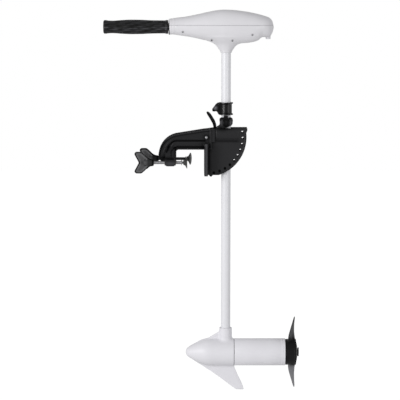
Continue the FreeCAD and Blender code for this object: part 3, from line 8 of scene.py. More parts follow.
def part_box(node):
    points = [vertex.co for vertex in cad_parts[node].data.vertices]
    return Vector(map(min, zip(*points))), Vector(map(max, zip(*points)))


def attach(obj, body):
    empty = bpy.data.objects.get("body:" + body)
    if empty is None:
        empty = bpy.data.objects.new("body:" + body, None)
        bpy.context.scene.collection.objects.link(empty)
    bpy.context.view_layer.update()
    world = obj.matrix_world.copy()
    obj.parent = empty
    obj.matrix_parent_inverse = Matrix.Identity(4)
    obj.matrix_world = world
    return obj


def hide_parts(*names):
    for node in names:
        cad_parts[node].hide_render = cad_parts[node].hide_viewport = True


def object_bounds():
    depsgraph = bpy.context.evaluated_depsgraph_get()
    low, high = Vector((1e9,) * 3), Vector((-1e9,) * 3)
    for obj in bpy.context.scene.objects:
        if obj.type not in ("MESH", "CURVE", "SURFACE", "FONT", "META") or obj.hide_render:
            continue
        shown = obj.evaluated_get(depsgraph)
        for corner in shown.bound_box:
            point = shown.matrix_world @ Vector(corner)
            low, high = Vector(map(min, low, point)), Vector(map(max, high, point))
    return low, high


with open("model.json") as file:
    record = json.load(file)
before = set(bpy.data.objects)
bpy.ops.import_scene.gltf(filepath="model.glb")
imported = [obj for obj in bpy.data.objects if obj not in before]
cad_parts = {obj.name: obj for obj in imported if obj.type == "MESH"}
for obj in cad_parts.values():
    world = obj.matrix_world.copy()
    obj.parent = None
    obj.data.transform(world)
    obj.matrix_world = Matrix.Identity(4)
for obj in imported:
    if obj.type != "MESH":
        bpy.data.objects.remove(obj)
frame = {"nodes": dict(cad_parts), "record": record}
cad_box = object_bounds()
MM = 0.001

# Places of the main axes and joins, in millimetres
SHAFT_X = 65.35
PIVOT = (6.2, 73.0)
SCREW_Y = 56.0
TENSION_Z = 118.0
COLLAR_Z = 157.05
THUMB_Z = 156.5
HANDLE_Z = 400.5
SPLIT_Z = 406.0
INLET_X = 190.5
MOTOR_Z = -587.5

# Radii that several pieces share
SHAFT_BORE = 14.32
BOLT_BORE = 4.05
STUD_BORE = 4.05
MOTOR_RADIUS = 41.3
AXIS = 0.02     # where a turned profile closes


# Distance fields, in millimetres, negative inside

def smooth_max(a, b, width):
    """The larger of two fields, with the crease filled over that width."""
    lap = np.maximum(width - np.abs(a - b), 0.0)
    return np.maximum(a, b) + lap * lap / (4.0 * width)


def smooth_min(a, b, width):
    """The smaller of two fields, with the crease filled over that width."""
    return -smooth_max(-a, -b, width)


def round_and(a, b, radius):
    """Both fields at once, with the edge between them rounded."""
    a = a + radius
    b = b + radius
    inside = np.minimum(np.maximum(a, b), 0.0)
    return inside + np.hypot(np.maximum(a, 0.0), np.maximum(b, 0.0)) - radius


def span(value, low, high):
    """Distance outside the stretch from low to high."""
    return np.abs(value - (low + high) / 2.0) - (high - low) / 2.0


def block(x, y, z, low, high, radius):
    """Box between two corners, with rounded edges."""
    flat = round_and(span(x, low[0], high[0]), span(z, low[2], high[2]), radius)
    return round_and(flat, span(y, low[1], high[1]), radius)


def drum(across, up, along, radius, low, high, edge):
    """Cylinder of that radius between low and high, with rounded rims."""
    return round_and(np.hypot(across, up) - radius, span(along, low, high), edge)


def swell(value, middle, width):
    """1 at the middle, fading out to both sides."""
    return np.exp(-((value - middle) / width) ** 2)


def from_pivot(x, z):
    """Distance from the axis of the tilt bolt."""
    return np.hypot(x - PIVOT[0], z - PIVOT[1])


def outline_field(x, z, points):
    """Signed distance to a closed outline."""
    best = 1e9
    inside = 1.0
    count = len(points)
    for index in range(count):
        ax, az = points[index]
        bx, bz = points[(index + 1) % count]
        ex, ez = bx - ax, bz - az
        px, pz = x - ax, z - az
        along = np.clip((px * ex + pz * ez) / (ex * ex + ez * ez), 0.0, 1.0)
        best = np.minimum(best, (px - ex * along) ** 2 + (pz - ez * along) ** 2)
        above = z >= az
        below = z < bz
        left = ex * pz - ez * px > 0
        flip = (above & below & left) | (~above & ~below & ~left)
        inside = np.where(flip, -inside, inside)
    return inside * np.sqrt(best)


def path_field(x, z, points, widths):
    """Distance to an open path whose half width changes from corner to corner."""
    best = 1e9
    for index in range(len(points) - 1):
        ax, az = points[index]
        bx, bz = points[index + 1]
        ex, ez = bx - ax, bz - az
        along = np.clip(((x - ax) * ex + (z - az) * ez) / (ex * ex + ez * ez), 0.0, 1.0)
        wide = widths[index] + (widths[index + 1] - widths[index]) * along
        best = np.minimum(best, np.hypot(x - ax - ex * along, z - az - ez * along) - wide)
    return best


def arc(start, end, radius, steps=8):
    """Corners along an arc that bulges to the left of start to end (right if negative)."""
    ax, az = start
    bx, bz = end
    half = math.hypot(bx - ax, bz - az) / 2.0
    side = 1.0 if radius > 0 else -1.0
    back = math.sqrt(radius * radius - half * half)
    nx, nz = -(bz - az) / (2 * half) * side, (bx - ax) / (2 * half) * side
    cx, cz = (ax + bx) / 2 - nx * back, (az + bz) / 2 - nz * back
    first = math.atan2(az - cz, ax - cx)
    turn = math.atan2(bz - cz, bx - cx) - first
    turn = (turn + math.pi) % (2 * math.pi) - math.pi
    return [(cx + abs(radius) * math.cos(first + turn * k / steps),
             cz + abs(radius) * math.sin(first + turn * k / steps)) for k in range(steps + 1)]


def ease(value, low, high):
    """0 at low, 1 at high, smooth between."""
    part = np.clip((value - low) / (high - low), 0.0, 1.0)
    return part * part * (3.0 - 2.0 * part)


def curve(stations):
    """Smooth curve through (place, size) stations that never overshoots them."""
    xs = np.array([s[0] for s in stations], float)
    ys = np.array([s[1] for s in stations], float)
    gap = np.diff(xs)
    slope = np.diff(ys) / gap
    lean = np.zeros(len(xs))
    for k in range(1, len(xs) - 1):
        if slope[k - 1] * slope[k] > 0:
            w1 = 2 * gap[k] + gap[k - 1]
            w2 = gap[k] + 2 * gap[k - 1]
            lean[k] = (w1 + w2) / (w1 / slope[k - 1] + w2 / slope[k])
    lean[0], lean[-1] = slope[0], slope[-1]

    def value(place):
        place = np.clip(place, xs[0], xs[-1])
        k = np.clip(np.searchsorted(xs, place) - 1, 0, len(gap) - 1)
        t = (place - xs[k]) / gap[k]
        return (ys[k] * (1 + 2 * t) * (1 - t) ** 2 + lean[k] * gap[k] * t * (1 - t) ** 2
                + ys[k + 1] * t * t * (3 - 2 * t) + lean[k + 1] * gap[k] * t * t * (t - 1))

    return value


# Meshes

def as_mesh(name, places, faces):
    """A smooth mesh from corners in millimetres and faces with equal corner counts."""
    mesh = bpy.data.meshes.new(name)
    mesh.vertices.add(len(places))
    mesh.vertices.foreach_set("co", (np.asarray(places) * MM).ravel())
    mesh.loops.add(faces.size)
    mesh.loops.foreach_set("vertex_index", faces.ravel())
    mesh.polygons.add(len(faces))
    mesh.polygons.foreach_set("loop_start", np.arange(0, faces.size, faces.shape[1]))
    mesh.polygons.foreach_set("use_smooth", np.ones(len(faces), bool))
    mesh.update(calc_edges=True)
    mesh.validate()
    return mesh


def add(name, mesh, paint, nodes, body):
    """A piece that stands for some CAD nodes and moves with a body."""
    item = bpy.data.objects.new(name, mesh)
    bpy.context.scene.collection.objects.link(item)
    mesh.materials.append(paint)
    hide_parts(*nodes)
    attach(item, body)
    return item


def paint_shade_and_tone(item, depth):
    """Stores how much darker the paint is at each corner (below zero for lighter): painted shade and
    highlights, and on some pieces plain tone.
    """
    mesh = item.data
    places = np.empty(len(mesh.vertices) * 3, np.float32)
    mesh.vertices.foreach_get("co", places)
    x, y, z = places.reshape(-1, 3).T / MM
    level = np.broadcast_to(depth(x, y, z), x.shape)
    layer = mesh.attributes.new("dark", "FLOAT", "POINT")
    layer.data.foreach_set("value", level.astype(np.float32))


def slope_of(field, places, reach):
    """Value and gradient of a field at scattered places."""
    x, y, z = places.T
    value = field(x, y, z)
    steps = np.eye(3) * reach
    slopes = [(field(x + a, y + b, z + c) - field(x - a, y - b, z - c)) / (2 * reach)
              for a, b, c in steps]
    return value, np.stack(slopes, 1)


def net(field, low, high, step):
    """Wraps the zero surface of a field in quads, one corner to each cell that it crosses."""
    axes = [np.arange(a, b + step, step) for a, b in zip(low, high)]
    shape = tuple(len(a) for a in axes)
    value = np.broadcast_to(field(axes[0][:, None, None], axes[1][None, :, None],
                                  axes[2][None, None, :]), shape).astype(np.float32)
    solid = value < 0
    corners = np.array([(i, j, k) for i in (0, 1) for j in (0, 1) for k in (0, 1)])
    count = np.zeros([n - 1 for n in shape], np.int8)
    for i, j, k in corners:
        count += solid[i:shape[0] - 1 + i, j:shape[1] - 1 + j, k:shape[2] - 1 + k]
    crossed = (count > 0) & (count < 8)
    cells = np.argwhere(crossed)
    number = np.full(crossed.shape, -1, np.int64)
    number[crossed] = np.arange(len(cells))
    total = np.zeros((len(cells), 3))
    hits = np.zeros(len(cells))
    for a in corners:
        for axis in range(3):
            if a[axis]:
                continue
            b = a.copy()
            b[axis] = 1
            va = value[tuple((cells + a).T)]
            vb = value[tuple((cells + b).T)]
            cross = (va < 0) != (vb < 0)
            part = np.where(cross, va / np.where(cross, va - vb, 1.0), 0.0)
            total += (a + (b - a) * part[:, None]) * cross[:, None]
            hits += cross
    places = np.array(low) + (cells + total / hits[:, None]) * step
    for _ in range(2):
        off, slope = slope_of(field, places, step * 0.2)
        size = np.maximum((slope * slope).sum(1), 0.05)
        move = slope * (off / size)[:, None]
        length = np.maximum(np.linalg.norm(move, axis=1), 1e-9)
        places -= move * np.minimum(1.0, 0.5 * step / length)[:, None]
    faces = []
    for axis in range(3):
        u, w = (axis + 1) % 3, (axis + 2) % 3
        start = [slice(1, -1)] * 3
        start[axis] = slice(0, -1)
        end = list(start)
        end[axis] = slice(1, None)
        first, second = solid[tuple(start)], solid[tuple(end)]
        spots = np.argwhere(first != second)
        outward = first[tuple(spots.T)]
        spots[:, u] += 1
        spots[:, w] += 1
        du = np.eye(3, dtype=int)[u]
        dw = np.eye(3, dtype=int)[w]
        quad = np.stack([number[tuple((spots - d).T)] for d in (0 * du, du, du + dw, dw)], 1)
        faces.append(np.where(outward[:, None], quad, quad[:, ::-1]))
    return places, np.concatenate(faces)


def skin(name, field, low, high, step, paint, nodes, body, keep=1.0, dark=None):
    """A piece whose surface is the zero of a field, thinned to the part to keep."""
    places, faces = net(field, low, high, step)
    item = add(name, as_mesh(name, places, faces), paint, nodes, body)
    if keep < 1.0:
        thin = item.modifiers.new("thin", "DECIMATE")
        thin.ratio = keep
        graph = bpy.context.evaluated_depsgraph_get()
        mesh = bpy.data.meshes.new_from_object(item.evaluated_get(graph))
        item.modifiers.clear()
        item.data = mesh
        mesh.name = name
    if dark:
        paint_shade_and_tone(item, dark)
    return item


def lathe(name, profile, base, paint, nodes, body, steps=96, wave=None):
    """Turns (along, radius) corners about an axis through base that runs along X."""
    turn = np.linspace(0, 2 * math.pi, steps, endpoint=False)
    along = np.array([p[0] for p in profile])[:, None]
    radius = np.array([p[1] for p in profile])[:, None]
    if wave is not None:
        radius = radius + wave(along, turn[None, :])
    places = np.stack(np.broadcast_arrays(
        base[0] + along, base[1] + radius * np.cos(turn), base[2] + radius * np.sin(turn)), 2)
    rings = len(profile)
    k = np.arange(rings - 1)[:, None] * steps
    s = np.arange(steps)[None, :]
    n = (s + 1) % steps
    quads = np.stack([k + s, k + n, k + steps + n, k + steps + s], 2).reshape(-1, 4)
    places = places.reshape(-1, 3)
    mesh = as_mesh(name, places, quads)
    mesh.set_sharp_from_angle(angle=math.radians(40))
    return add(name, mesh, paint, nodes, body)


# Materials

def light(level):
    """Linear value of an sRGB level from 0 to 255."""
    part = level / 255.0
    return part / 12.92 if part <= 0.04045 else ((part + 0.055) / 1.055) ** 2.4


def sum_node(tree, kind, first, second):
    """A math node over two sockets or numbers."""
    item = tree.nodes.new("ShaderNodeMath")
    item.operation = kind
    for socket, value in zip(item.inputs, (first, second)):
        if isinstance(value, float):
            socket.default_value = value
        else:
            tree.links.new(value, socket)
    return item.outputs[0]


def darken(tree, shader, colour, sheen, power):
    """Colour and gloss fall off in hollows, as painted shade, and follow the painted shade and
    highlights stored on the mesh.
    """
    nook = tree.nodes.new("ShaderNodeAmbientOcclusion")
    nook.samples = 6
    nook.inputs["Distance"].default_value = 0.014
    open_part = sum_node(tree, "POWER", nook.outputs["AO"], power)
    painted_shade = tree.nodes.new("ShaderNodeAttribute")
    painted_shade.attribute_name = "dark"
    kept = sum_node(tree, "SUBTRACT", 1.0, painted_shade.outputs["Fac"])
    level = sum_node(tree, "MULTIPLY", open_part, kept)
    dim = tree.nodes.new("ShaderNodeVectorMath")
    dim.operation = "SCALE"
    tree.links.new(colour, dim.inputs[0])
    tree.links.new(level, dim.inputs["Scale"])
    tree.links.new(dim.outputs[0], shader.inputs["Base Color"])
    shine = sum_node(tree, "MINIMUM", level, 1.3)
    tree.links.new(sum_node(tree, "MULTIPLY", shine, sheen), shader.inputs["Specular IOR Level"])


def paint(name, levels, rough, bump, metal=0.0, grain=900.0, blotch=25.0, spread=0.06,
          rough_spread=0.12, stretch=(1, 1, 1), sheen=0.5, fade=0.25, hollow=0.0):
    """A surface with cloudy colour, uneven gloss, a fine grain and, if set, painted shade in hollows and
    the painted shade and highlights stored on the mesh.
    """
    made = bpy.data.materials.new(name)
    made.use_nodes = True
    tree = made.node_tree
    shader = tree.nodes["Principled BSDF"]
    shader.inputs["Metallic"].default_value = metal
    shader.inputs["Specular IOR Level"].default_value = sheen
    place = tree.nodes.new("ShaderNodeTexCoord")
    scale = tree.nodes.new("ShaderNodeMapping")
    scale.inputs["Scale"].default_value = stretch
    tree.links.new(place.outputs["Object"], scale.inputs["Vector"])

    def noise(size, detail):
        item = tree.nodes.new("ShaderNodeTexNoise")
        item.inputs["Scale"].default_value = size
        item.inputs["Detail"].default_value = detail
        tree.links.new(scale.outputs["Vector"], item.inputs["Vector"])
        return item.outputs["Fac"]

    clouds = noise(blotch, 5.0)
    base = [light(v) for v in levels]
    ramp = tree.nodes.new("ShaderNodeValToRGB")
    ramp.color_ramp.elements[0].position = 0.5 - fade
    ramp.color_ramp.elements[1].position = 0.5 + fade
    ramp.color_ramp.elements[0].color = [v * (1 - spread) for v in base] + [1]
    ramp.color_ramp.elements[1].color = [min(1.0, v * (1 + spread)) for v in base] + [1]
    tree.links.new(clouds, ramp.inputs["Fac"])
    if hollow:
        darken(tree, shader, ramp.outputs["Color"], sheen, hollow)
    else:
        tree.links.new(ramp.outputs["Color"], shader.inputs["Base Color"])
    gloss = tree.nodes.new("ShaderNodeMapRange")
    gloss.inputs["To Min"].default_value = max(0.03, rough - rough_spread)
    gloss.inputs["To Max"].default_value = min(1.0, rough + rough_spread)
    tree.links.new(noise(blotch * 6, 4.0), gloss.inputs["Value"])
    tree.links.new(gloss.outputs["Result"], shader.inputs["Roughness"])
    relief = tree.nodes.new("ShaderNodeBump")
    relief.inputs["Strength"].default_value = bump
    relief.inputs["Distance"].default_value = 0.0004
    tree.links.new(noise(grain, 3.0), relief.inputs["Height"])
    tree.links.new(relief.outputs["Normal"], shader.inputs["Normal"])
    return made


ALONG_X = (0.2, 1, 1)
ALONG_Z = (1, 1, 0.1)
PAINTS = {name: paint(name, levels, rough, **more) for name, levels, rough, more in (
    ("moulded_black", (31, 31, 33), 0.5, dict(grain=1400, bump=0.25, sheen=0.24, hollow=1.5)),
    ("collar_black", (26, 26, 28), 0.3, dict(grain=1400, bump=0.12, hollow=1.5)),
    ("knob_black", (68, 68, 69), 0.45, dict(grain=1300, bump=0.2, sheen=0.4, hollow=1.2)),
    ("pad_grey", (72, 72, 71), 0.55, dict(bump=0.15, hollow=1.0)),
    ("grip_rubber", (24, 24, 26), 0.45, dict(grain=420, bump=0.9, blotch=120, spread=0.9, fade=0.1,
                                             rough_spread=0.25, stretch=(0.4, 1, 1), sheen=0.3,
                                             hollow=1.0)),
    ("seal_rubber", (24, 24, 26), 0.75, dict(grain=800, bump=0.2)),
    ("head_white", (219, 218, 222), 0.36, dict(grain=1500, bump=0.05, spread=0.02, hollow=0.3)),
    ("shaft_white", (226, 226, 230), 0.3, dict(grain=1200, bump=0.05, spread=0.03, stretch=ALONG_Z)),
    ("motor_white", (224, 223, 228), 0.45, dict(grain=1100, bump=0.06, spread=0.02)),
    ("propeller_black", (40, 40, 42), 0.42, dict(bump=0.15, sheen=0.4, hollow=1.0)),
    ("rod_dull", (146, 146, 148), 0.45, dict(metal=1.0, grain=700, bump=0.2, stretch=ALONG_X)),
    # The far rod's paint: the rod steel with painted shade, dark and not metallic.
    ("rod_shaded", (34, 34, 36), 0.5, dict(grain=700, bump=0.2, stretch=ALONG_X)),
    ("stainless", (168, 168, 170), 0.28, dict(metal=1.0, grain=700, bump=0.12, stretch=ALONG_X)),
    ("insert_brass", (150, 134, 100), 0.4, dict(metal=1.0, bump=0.1)),
    ("nylon_natural", (214, 210, 198), 0.5, dict(bump=0.1)),
    ("tube_grey", (96, 97, 99), 0.4, dict(bump=0.1)),
    ("switch_black", (30, 30, 31), 0.5, dict(bump=0.15)),
    ("copper", (190, 110, 70), 0.3, dict(metal=1.0, bump=0.12)),
    ("core_steel", (120, 120, 124), 0.42, dict(metal=1.0, grain=500, bump=0.2)),
    ("carbon", (40, 40, 42), 0.65, dict(bump=0.2)),
    ("lead_jacket", (52, 18, 18), 0.5, dict(bump=0.1)))}
BLACK = PAINTS["moulded_black"]
WHITE = PAINTS["head_white"]

# CAD nodes whose paint differs from their slot's
OWN_PAINT = {"handle_neck_ring": "moulded_black", "propeller_nut": "propeller_black",
             "pivot_washers": "moulded_black", "lock_pin_near": "moulded_black",
             "lock_pin_far": "moulded_black", "hinge_bushing_upper": "shaft_white"}

for part in frame["record"]["subparts"]:
    data = frame["nodes"][part["node"]].data
    data.materials.clear()
    data.materials.append(PAINTS[OWN_PAINT.get(part["node"], part["material_slot"])])


# Clamp bracket

ARM = ([(22.0, 36.0), (22.0, 96.0), (0.0, 94.9)]
       + arc((-86.0, 81.1), (-136.9, 23.0), -67.0)
       + [(-136.9, 10.0), (-134.0, 5.6), (-129.0, 1.6), (-123.0, 0.2), (-84.2, 0.2)]
       + arc((-84.2, 28.0), (-76.2, 36.0), 8.0, 5))
GROOVE = [(2.0, 62.7), (-86.0, 62.7), (-95.0, 58.6), (-101.6, 51.0), (-107.4, 42.5), (-112.4, 30.6)]
GROOVE_WIDTHS = [1.9, 2.1, 1.2, 2.0, 3.0, 2.2]
LIP = [(2.0, 44.2), (-80.0, 44.2), (-91.0, 41.0), (-97.8, 33.0), (-98.4, 13.0)]
LIP_WIDTHS = [1.6, 1.8, 1.6, 1.4, 1.2]
QUARTER = ([(0.2, -40.9)] + arc((43.8, -40.9), (125.9, 86.0), -119.6, 22)
           + [(129.0, 93.0), (129.2, 99.4), (34.0, 99.4), (20.0, 97.4), (0.2, 95.0)])
HOLE_CIRCLE = 109.2
HOLE_RADIUS = 3.7
FIRST_HOLE, HOLE_STEP, HOLE_COUNT = 8.1, 9.6, 10
HOLE_ANGLES = [math.radians(FIRST_HOLE - HOLE_STEP * k) for k in range(HOLE_COUNT)]
ARM_INSIDE = 20.6
BAR = (-117.8, -84.7)


def arms(x, y, z):
    """The two arms over the transom, with a rim, a groove and a lip in their outer faces."""
    side = np.abs(y)
    edge = outline_field(x, z, ARM)
    groove = path_field(x, z, GROOVE, GROOVE_WIDTHS)
    face = 28.3 + 2.1 * ease(edge, -5.0, -4.0)
    face = face + 1.5 * swell(groove, 4.4, 2.2) * (1.0 - ease(x, -94.0, -86.0))
    face = face - 3.4 * (1.0 - ease(groove, -0.8, 0.4))
    face = face - 2.4 * (1.0 - ease(path_field(x, z, LIP, LIP_WIDTHS), -0.6, 0.6))
    depth = np.maximum(side - np.minimum(face, 30.4), ARM_INSIDE - side)
    return round_and(edge, depth, 0.8)


def plates(x, y, z):
    """The two quarter plates, each with a raised rim and a swollen band along its top."""
    side = np.abs(y)
    edge = outline_field(x, z, QUARTER)
    rim = ease(from_pivot(x, z), 114.4, 115.6)
    ends = ease(x, 30.0, 38.0) * (1.0 - ease(x, 98.0, 112.0))
    band = np.sqrt(np.clip(1.0 - ((z - 83.0) / 15.5) ** 2, 0.0, 1.0)) * ends
    block_up = ease(x, 12.5, 13.5) * (1.0 - ease(x, 32.0, 33.0)) * ease(z, 57.0, 58.5)
    face = 24.9 + 1.4 * rim * (1.0 - band) + np.maximum(4.2 * band, 3.4 * block_up)
    return round_and(edge, np.maximum(side - face, ARM_INSIDE - side), 0.7)


def foot(x, y, z):
    """The cross bar that carries the clamp screws, with a gusset up to each arm."""
    side = np.abs(y)
    section = round_and(span(x, *BAR), span(z, -10.3, 10.3), 9.2)
    bar = round_and(section, side - 67.6, 2.2)
    mouth = round_and(np.hypot(side - SCREW_Y, z) - 8.6, span(x, -118.0, -84.5), 0.8)
    bar = smooth_min(bar, mouth, 1.0)
    slant = (side - 66.0 + (z - 7.0) * 0.96) * 0.72
    gusset = round_and(np.maximum(slant, 5.0 - z), span(x, -114.8, -87.7), 1.5)
    return smooth_min(bar, np.maximum(gusset, z - 44.0), 3.0)


def bracket(x, y, z):
    """The whole clamp bracket as one moulding, drilled for its bolt, screws and tilt holes."""
    side = np.abs(y)
    ridge = 61.0 + 0.9 * (1.0 - ease(np.abs(x - 5.6), 1.4, 2.4))
    web = round_and(round_and(span(x, 0.0, 10.9), span(z, -40.9, 55.9), 1.2), side - ridge, 0.8)
    whole = smooth_min(arms(x, y, z), plates(x, y, z), 1.2)
    whole = smooth_min(whole, web, 2.0)
    whole = smooth_min(whole, block(x, y, z, (-75.0, -29.0, 36.2), (1.0, 29.0, 42.0), 1.0), 1.0)
    whole = smooth_min(whole, foot(x, y, z), 3.0)
    nub = round_and(np.hypot(x - 20.2, z + 41.0) - 4.9, span(side, ARM_INSIDE, 24.8), 0.8)
    whole = np.minimum(whole, nub)
    holes = np.minimum.reduce([
        np.hypot(x - PIVOT[0] - HOLE_CIRCLE * math.cos(a), z - PIVOT[1] - HOLE_CIRCLE * math.sin(a))
        for a in HOLE_ANGLES]) - HOLE_RADIUS
    holes = np.minimum(holes, from_pivot(x, z) - BOLT_BORE)
    screws = np.maximum(np.hypot(side - SCREW_Y, z) - 7.5, span(x, -120.0, -80.0))
    return smooth_max(whole, -np.minimum(holes, screws), 0.8)


def bracket_dark(x, y, z):
    """Shade in the grooves, beside the rims and seams, and light on the web's edge."""
    side = np.abs(y)
    edge = outline_field(x, z, ARM)
    on_arm = (side > 26.0) * (x < 12.0)
    groove = 1.0 - ease(path_field(x, z, GROOVE, GROOVE_WIDTHS), -0.4, 1.6)
    lip = 1.0 - ease(path_field(x, z, LIP, LIP_WIDTHS), -0.4, 1.4)
    rim = swell(edge, -5.0, 1.2) * 0.6
    outer = (1.0 - ease(-edge, 4.0, 8.0)) * (1.0 - ease(x, -124.0, -100.0)) * 0.75
    dark = np.maximum(np.maximum(groove, lip), np.maximum(rim, outer)) * on_arm * 0.85
    dark = np.maximum(dark, 0.16 * (x < 2.0) * (z > 32.0)) - 0.3 * (x < -84.0) * (z < 20.0)
    knee = ease(x, -134.0, -126.0) * (1.0 - ease(x, -92.0, -88.0))
    dark = np.maximum(dark, 0.8 * knee * swell(z, 12.0, 4.5) * (side > 18.0))
    behind = ease(x, 9.5, 12.0) * (1.0 - ease(x, 14.5, 19.5)) * (1.0 - ease(z, 30.0, 40.0))
    dark = np.maximum(dark, 0.55 * behind * (side < 40.0) * ease(z, -30.0, -22.0))
    seams = swell(x, 12.6, 0.9) + swell(x, 32.8, 0.9)
    dark = np.maximum(dark, 0.55 * np.minimum(seams, 1.0) * (z > 56.0) * (side > 20.0))
    under = swell(z, 61.5, 4.0) * ease(x, 33.0, 36.0) * (1.0 - ease(x, 96.0, 116.0))
    dark = np.maximum(dark, 0.6 * under * (side > 20.0))
    top = swell(x, 48.0, 18.0) * ease(z, 86.0, 98.0)
    dark = np.maximum(dark, 0.5 * top)
    # Painted highlights on the web's edge and on the screw bosses.
    strip = swell(x, 6.6, 1.8) * (side > 58.0)
    boss = swell(z, -2.0, 4.0) * swell(x, -100.0, 13.0) * (side > 58.0)
    return dark - 3.0 * strip - 1.4 * boss


skin("bracket_body", bracket, (-139, -70.5, -48), (131, 70.5, 102), 1.25, BLACK,
     ["clamp_bracket"], "bracket", 0.4, bracket_dark)

BOLT_HEAD, BOLT_END = [corner[1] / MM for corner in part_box("pivot_bolt")]


def pivot_bolt(x, y, z):
    """The tilt bolt with a domed, slotted head."""
    reach = from_pivot(x, z)
    shank = np.maximum(reach - 3.95, span(y, BOLT_HEAD + 1.0, BOLT_END))
    dome = np.maximum(np.hypot(reach, y - BOLT_HEAD - 8.0) - 8.0, y - BOLT_HEAD - 3.6)
    head = smooth_max(dome, reach - 4.3, 0.8)
    recess = np.maximum(np.abs(x - PIVOT[0]) - 0.7, y - BOLT_HEAD - 0.9)
    return np.maximum(np.minimum(shank, head), -np.maximum(recess, reach - 3.4))


skin("pivot_bolt_polished", pivot_bolt, (0.0, BOLT_HEAD - 1, 67), (12.5, BOLT_END + 1, 79), 0.45,
     PAINTS["rod_dull"], ["pivot_bolt"], "bracket")


# Swivel block between the quarter plates

BLOCK = ([(6.2, 59.3), (14.6, 59.0), (14.6, -43.0)] + arc((15.0, -43.4), (85.9, -12.8), -116.8, 8)
         + [(85.9, 95.9), (14.6, 95.9), (6.2, 86.7)])
HUMP = [(36.4, 93.0), (72.0, 93.0), (72.0, 104.0), (70.0, 108.0), (48.0, 110.0), (44.0, 106.0),
        (37.6, 102.0)]


def swivel_block(x, y, z):
    """The tilting block between the plates, with the neck and boss for the steering knob."""
    side = np.abs(y)
    main = round_and(outline_field(x, z, BLOCK), side - 19.9, 0.8)
    lug = round_and(from_pivot(x, z) - 13.6, side - 19.9, 0.8)
    hump = round_and(outline_field(x, z, HUMP), side - 18.8, 3.0)
    reach = np.hypot(x - SHAFT_X, y)
    neck = round_and(reach - 18.8 - 0.5 * ease(z, 124.0, 126.0), span(z, 100.0, 127.9), 1.2)
    boss = round_and(np.hypot(x - SHAFT_X, z - TENSION_Z) - 9.4, span(y, -30.4, 0.0), 1.0)
    whole = smooth_min(smooth_min(main, lug, 1.0), hump, 2.5)
    whole = smooth_min(smooth_min(whole, neck, 3.0), boss, 2.5)
    front = block(x, y, z, (57.6, -21.4, 122.0), (71.4, -14.6, 137.4), 1.6)
    whole = smooth_min(whole, front, 1.5)
    notch = np.minimum(71.6 - x, np.maximum(65.6 - x, y + 2.0))
    notch = np.maximum(notch, span(z, 96.4, 108.0))
    whole = smooth_max(whole, -notch, 1.0)
    gap = round_and(span(x, 17.6, 38.6), np.maximum(side - 11.6, 81.0 - z), 0.5)
    bores = np.minimum(from_pivot(x, z) - BOLT_BORE, reach - 16.3)
    bores = np.minimum(bores, np.maximum(reach - 17.85, 126.5 - z))
    bores = np.minimum(bores, np.hypot(x - 28.3, z + 33.9) - 3.55)
    bores = np.minimum(bores, np.hypot(x - 28.3, y) - 3.0)
    return smooth_max(whole, -np.minimum(bores, gap), 0.6)


skin("swivel_block", swivel_block, (-9.5, -32.5, -45), (88, 21.5, 140), 1.2, BLACK,
     ["hinge_block"], "hinge", 0.35)

LEVER = [(30.0, 86.6), (33.8, 86.8), (36.2, 91.0), (37.2, 100.0), (36.0, 110.0), (32.0, 121.0),
         (20.6, 139.6), (15.4, 145.4), (11.8, 147.6), (8.4, 147.6), (6.6, 145.6), (7.8, 142.0),
         (17.6, 126.0), (25.4, 112.0), (27.4, 103.0), (28.2, 92.0)]


def lever(x, y, z):
    """The tilt lever, a curved tongue with a sunk finger face."""
    wide = 10.8 - 2.2 * (1.0 - ease(z, 88.0, 118.0)) - 2.0 * ease(z, 132.0, 147.0)
    sink = 0.8 * (1.0 - ease(np.abs(y), 5.5, 6.6)) * ease(z, 112.0, 116.0)
    edge = outline_field(x, z, LEVER) + sink * (1.0 - ease(z, 136.0, 139.0))
    body = round_and(edge, np.abs(y) - wide, 1.2)
    return smooth_max(body, 2.5 - np.hypot(x - 31.5, z - 90.0), 0.3)


skin("release_lever", lever, (4, -12.5, 84), (40, 12.5, 150), 0.7, BLACK,
     ["tilt_release_lever"], "release_lever", 0.5, lambda x, y, z: 0.6)


# Steering tension knob, in front of the neck

TENSION = [(-17.0, -13.0), (-20.0, -8.0), (-19.2, 0.0), (-20.2, 8.0), (-18.8, 13.6), (-14.6, 15.8),
           (-8.0, 15.8), (-4.4, 12.8), (4.4, 12.8), (8.0, 15.8), (14.4, 15.8), (18.8, 12.8),
           (20.0, 7.4), (19.0, 0.0), (19.2, -3.0), (15.6, -7.8), (9.6, -10.6), (2.0, -14.6),
           (-10.0, -16.4)]
TENSION_BACK = -34.05


def tension_knob(x, y, z):
    """The lobed steering knob, dished round a raised cap."""
    across = x - SHAFT_X
    up = z - TENSION_Z
    out = TENSION_BACK - y
    radius = np.hypot(across, up)
    edge = outline_field(across, up, TENSION)
    body = round_and(edge, span(out, 0.0, 16.8), 2.4)
    dish = np.hypot(radius / 12.5, (out - 18.5) / 4.5) - 1.0
    body = smooth_max(body, -dish * 4.0, 1.0)
    cap = drum(across, up, out, 7.0, 8.0, 16.4, 1.2)
    groove = span(radius, 10.2, 11.0)
    whole = smooth_min(body, cap, 0.8)
    return np.maximum(whole, -np.maximum(groove, 13.0 - out))


def tension_dark(x, y, z):
    """Painted shade in the middle and painted highlights on the two lobes."""
    across = np.abs(x - SHAFT_X)
    up = z - TENSION_Z
    middle = swell(across, 0.35 * (up + 18.0), 5.0)
    lobe = swell(across, 13.5, 4.2) * swell(up, 1.0, 7.0)
    return 0.45 + 0.3 * middle - 2.6 * lobe


skin("tension_knob", tension_knob, (42, -52.5, 95), (89, -32.5, 141), 0.65, BLACK,
     ["steering_tension_knob"], "tension_knob", 0.6, tension_dark)


# Depth collar and its thumb screw

COLLAR_RIBS = 6


def collar_rib(x, y):
    """1 on the crest of each upright rib round the collar, -1 between them."""
    return np.cos(np.arctan2(y, x - SHAFT_X) * COLLAR_RIBS - math.pi / 4)


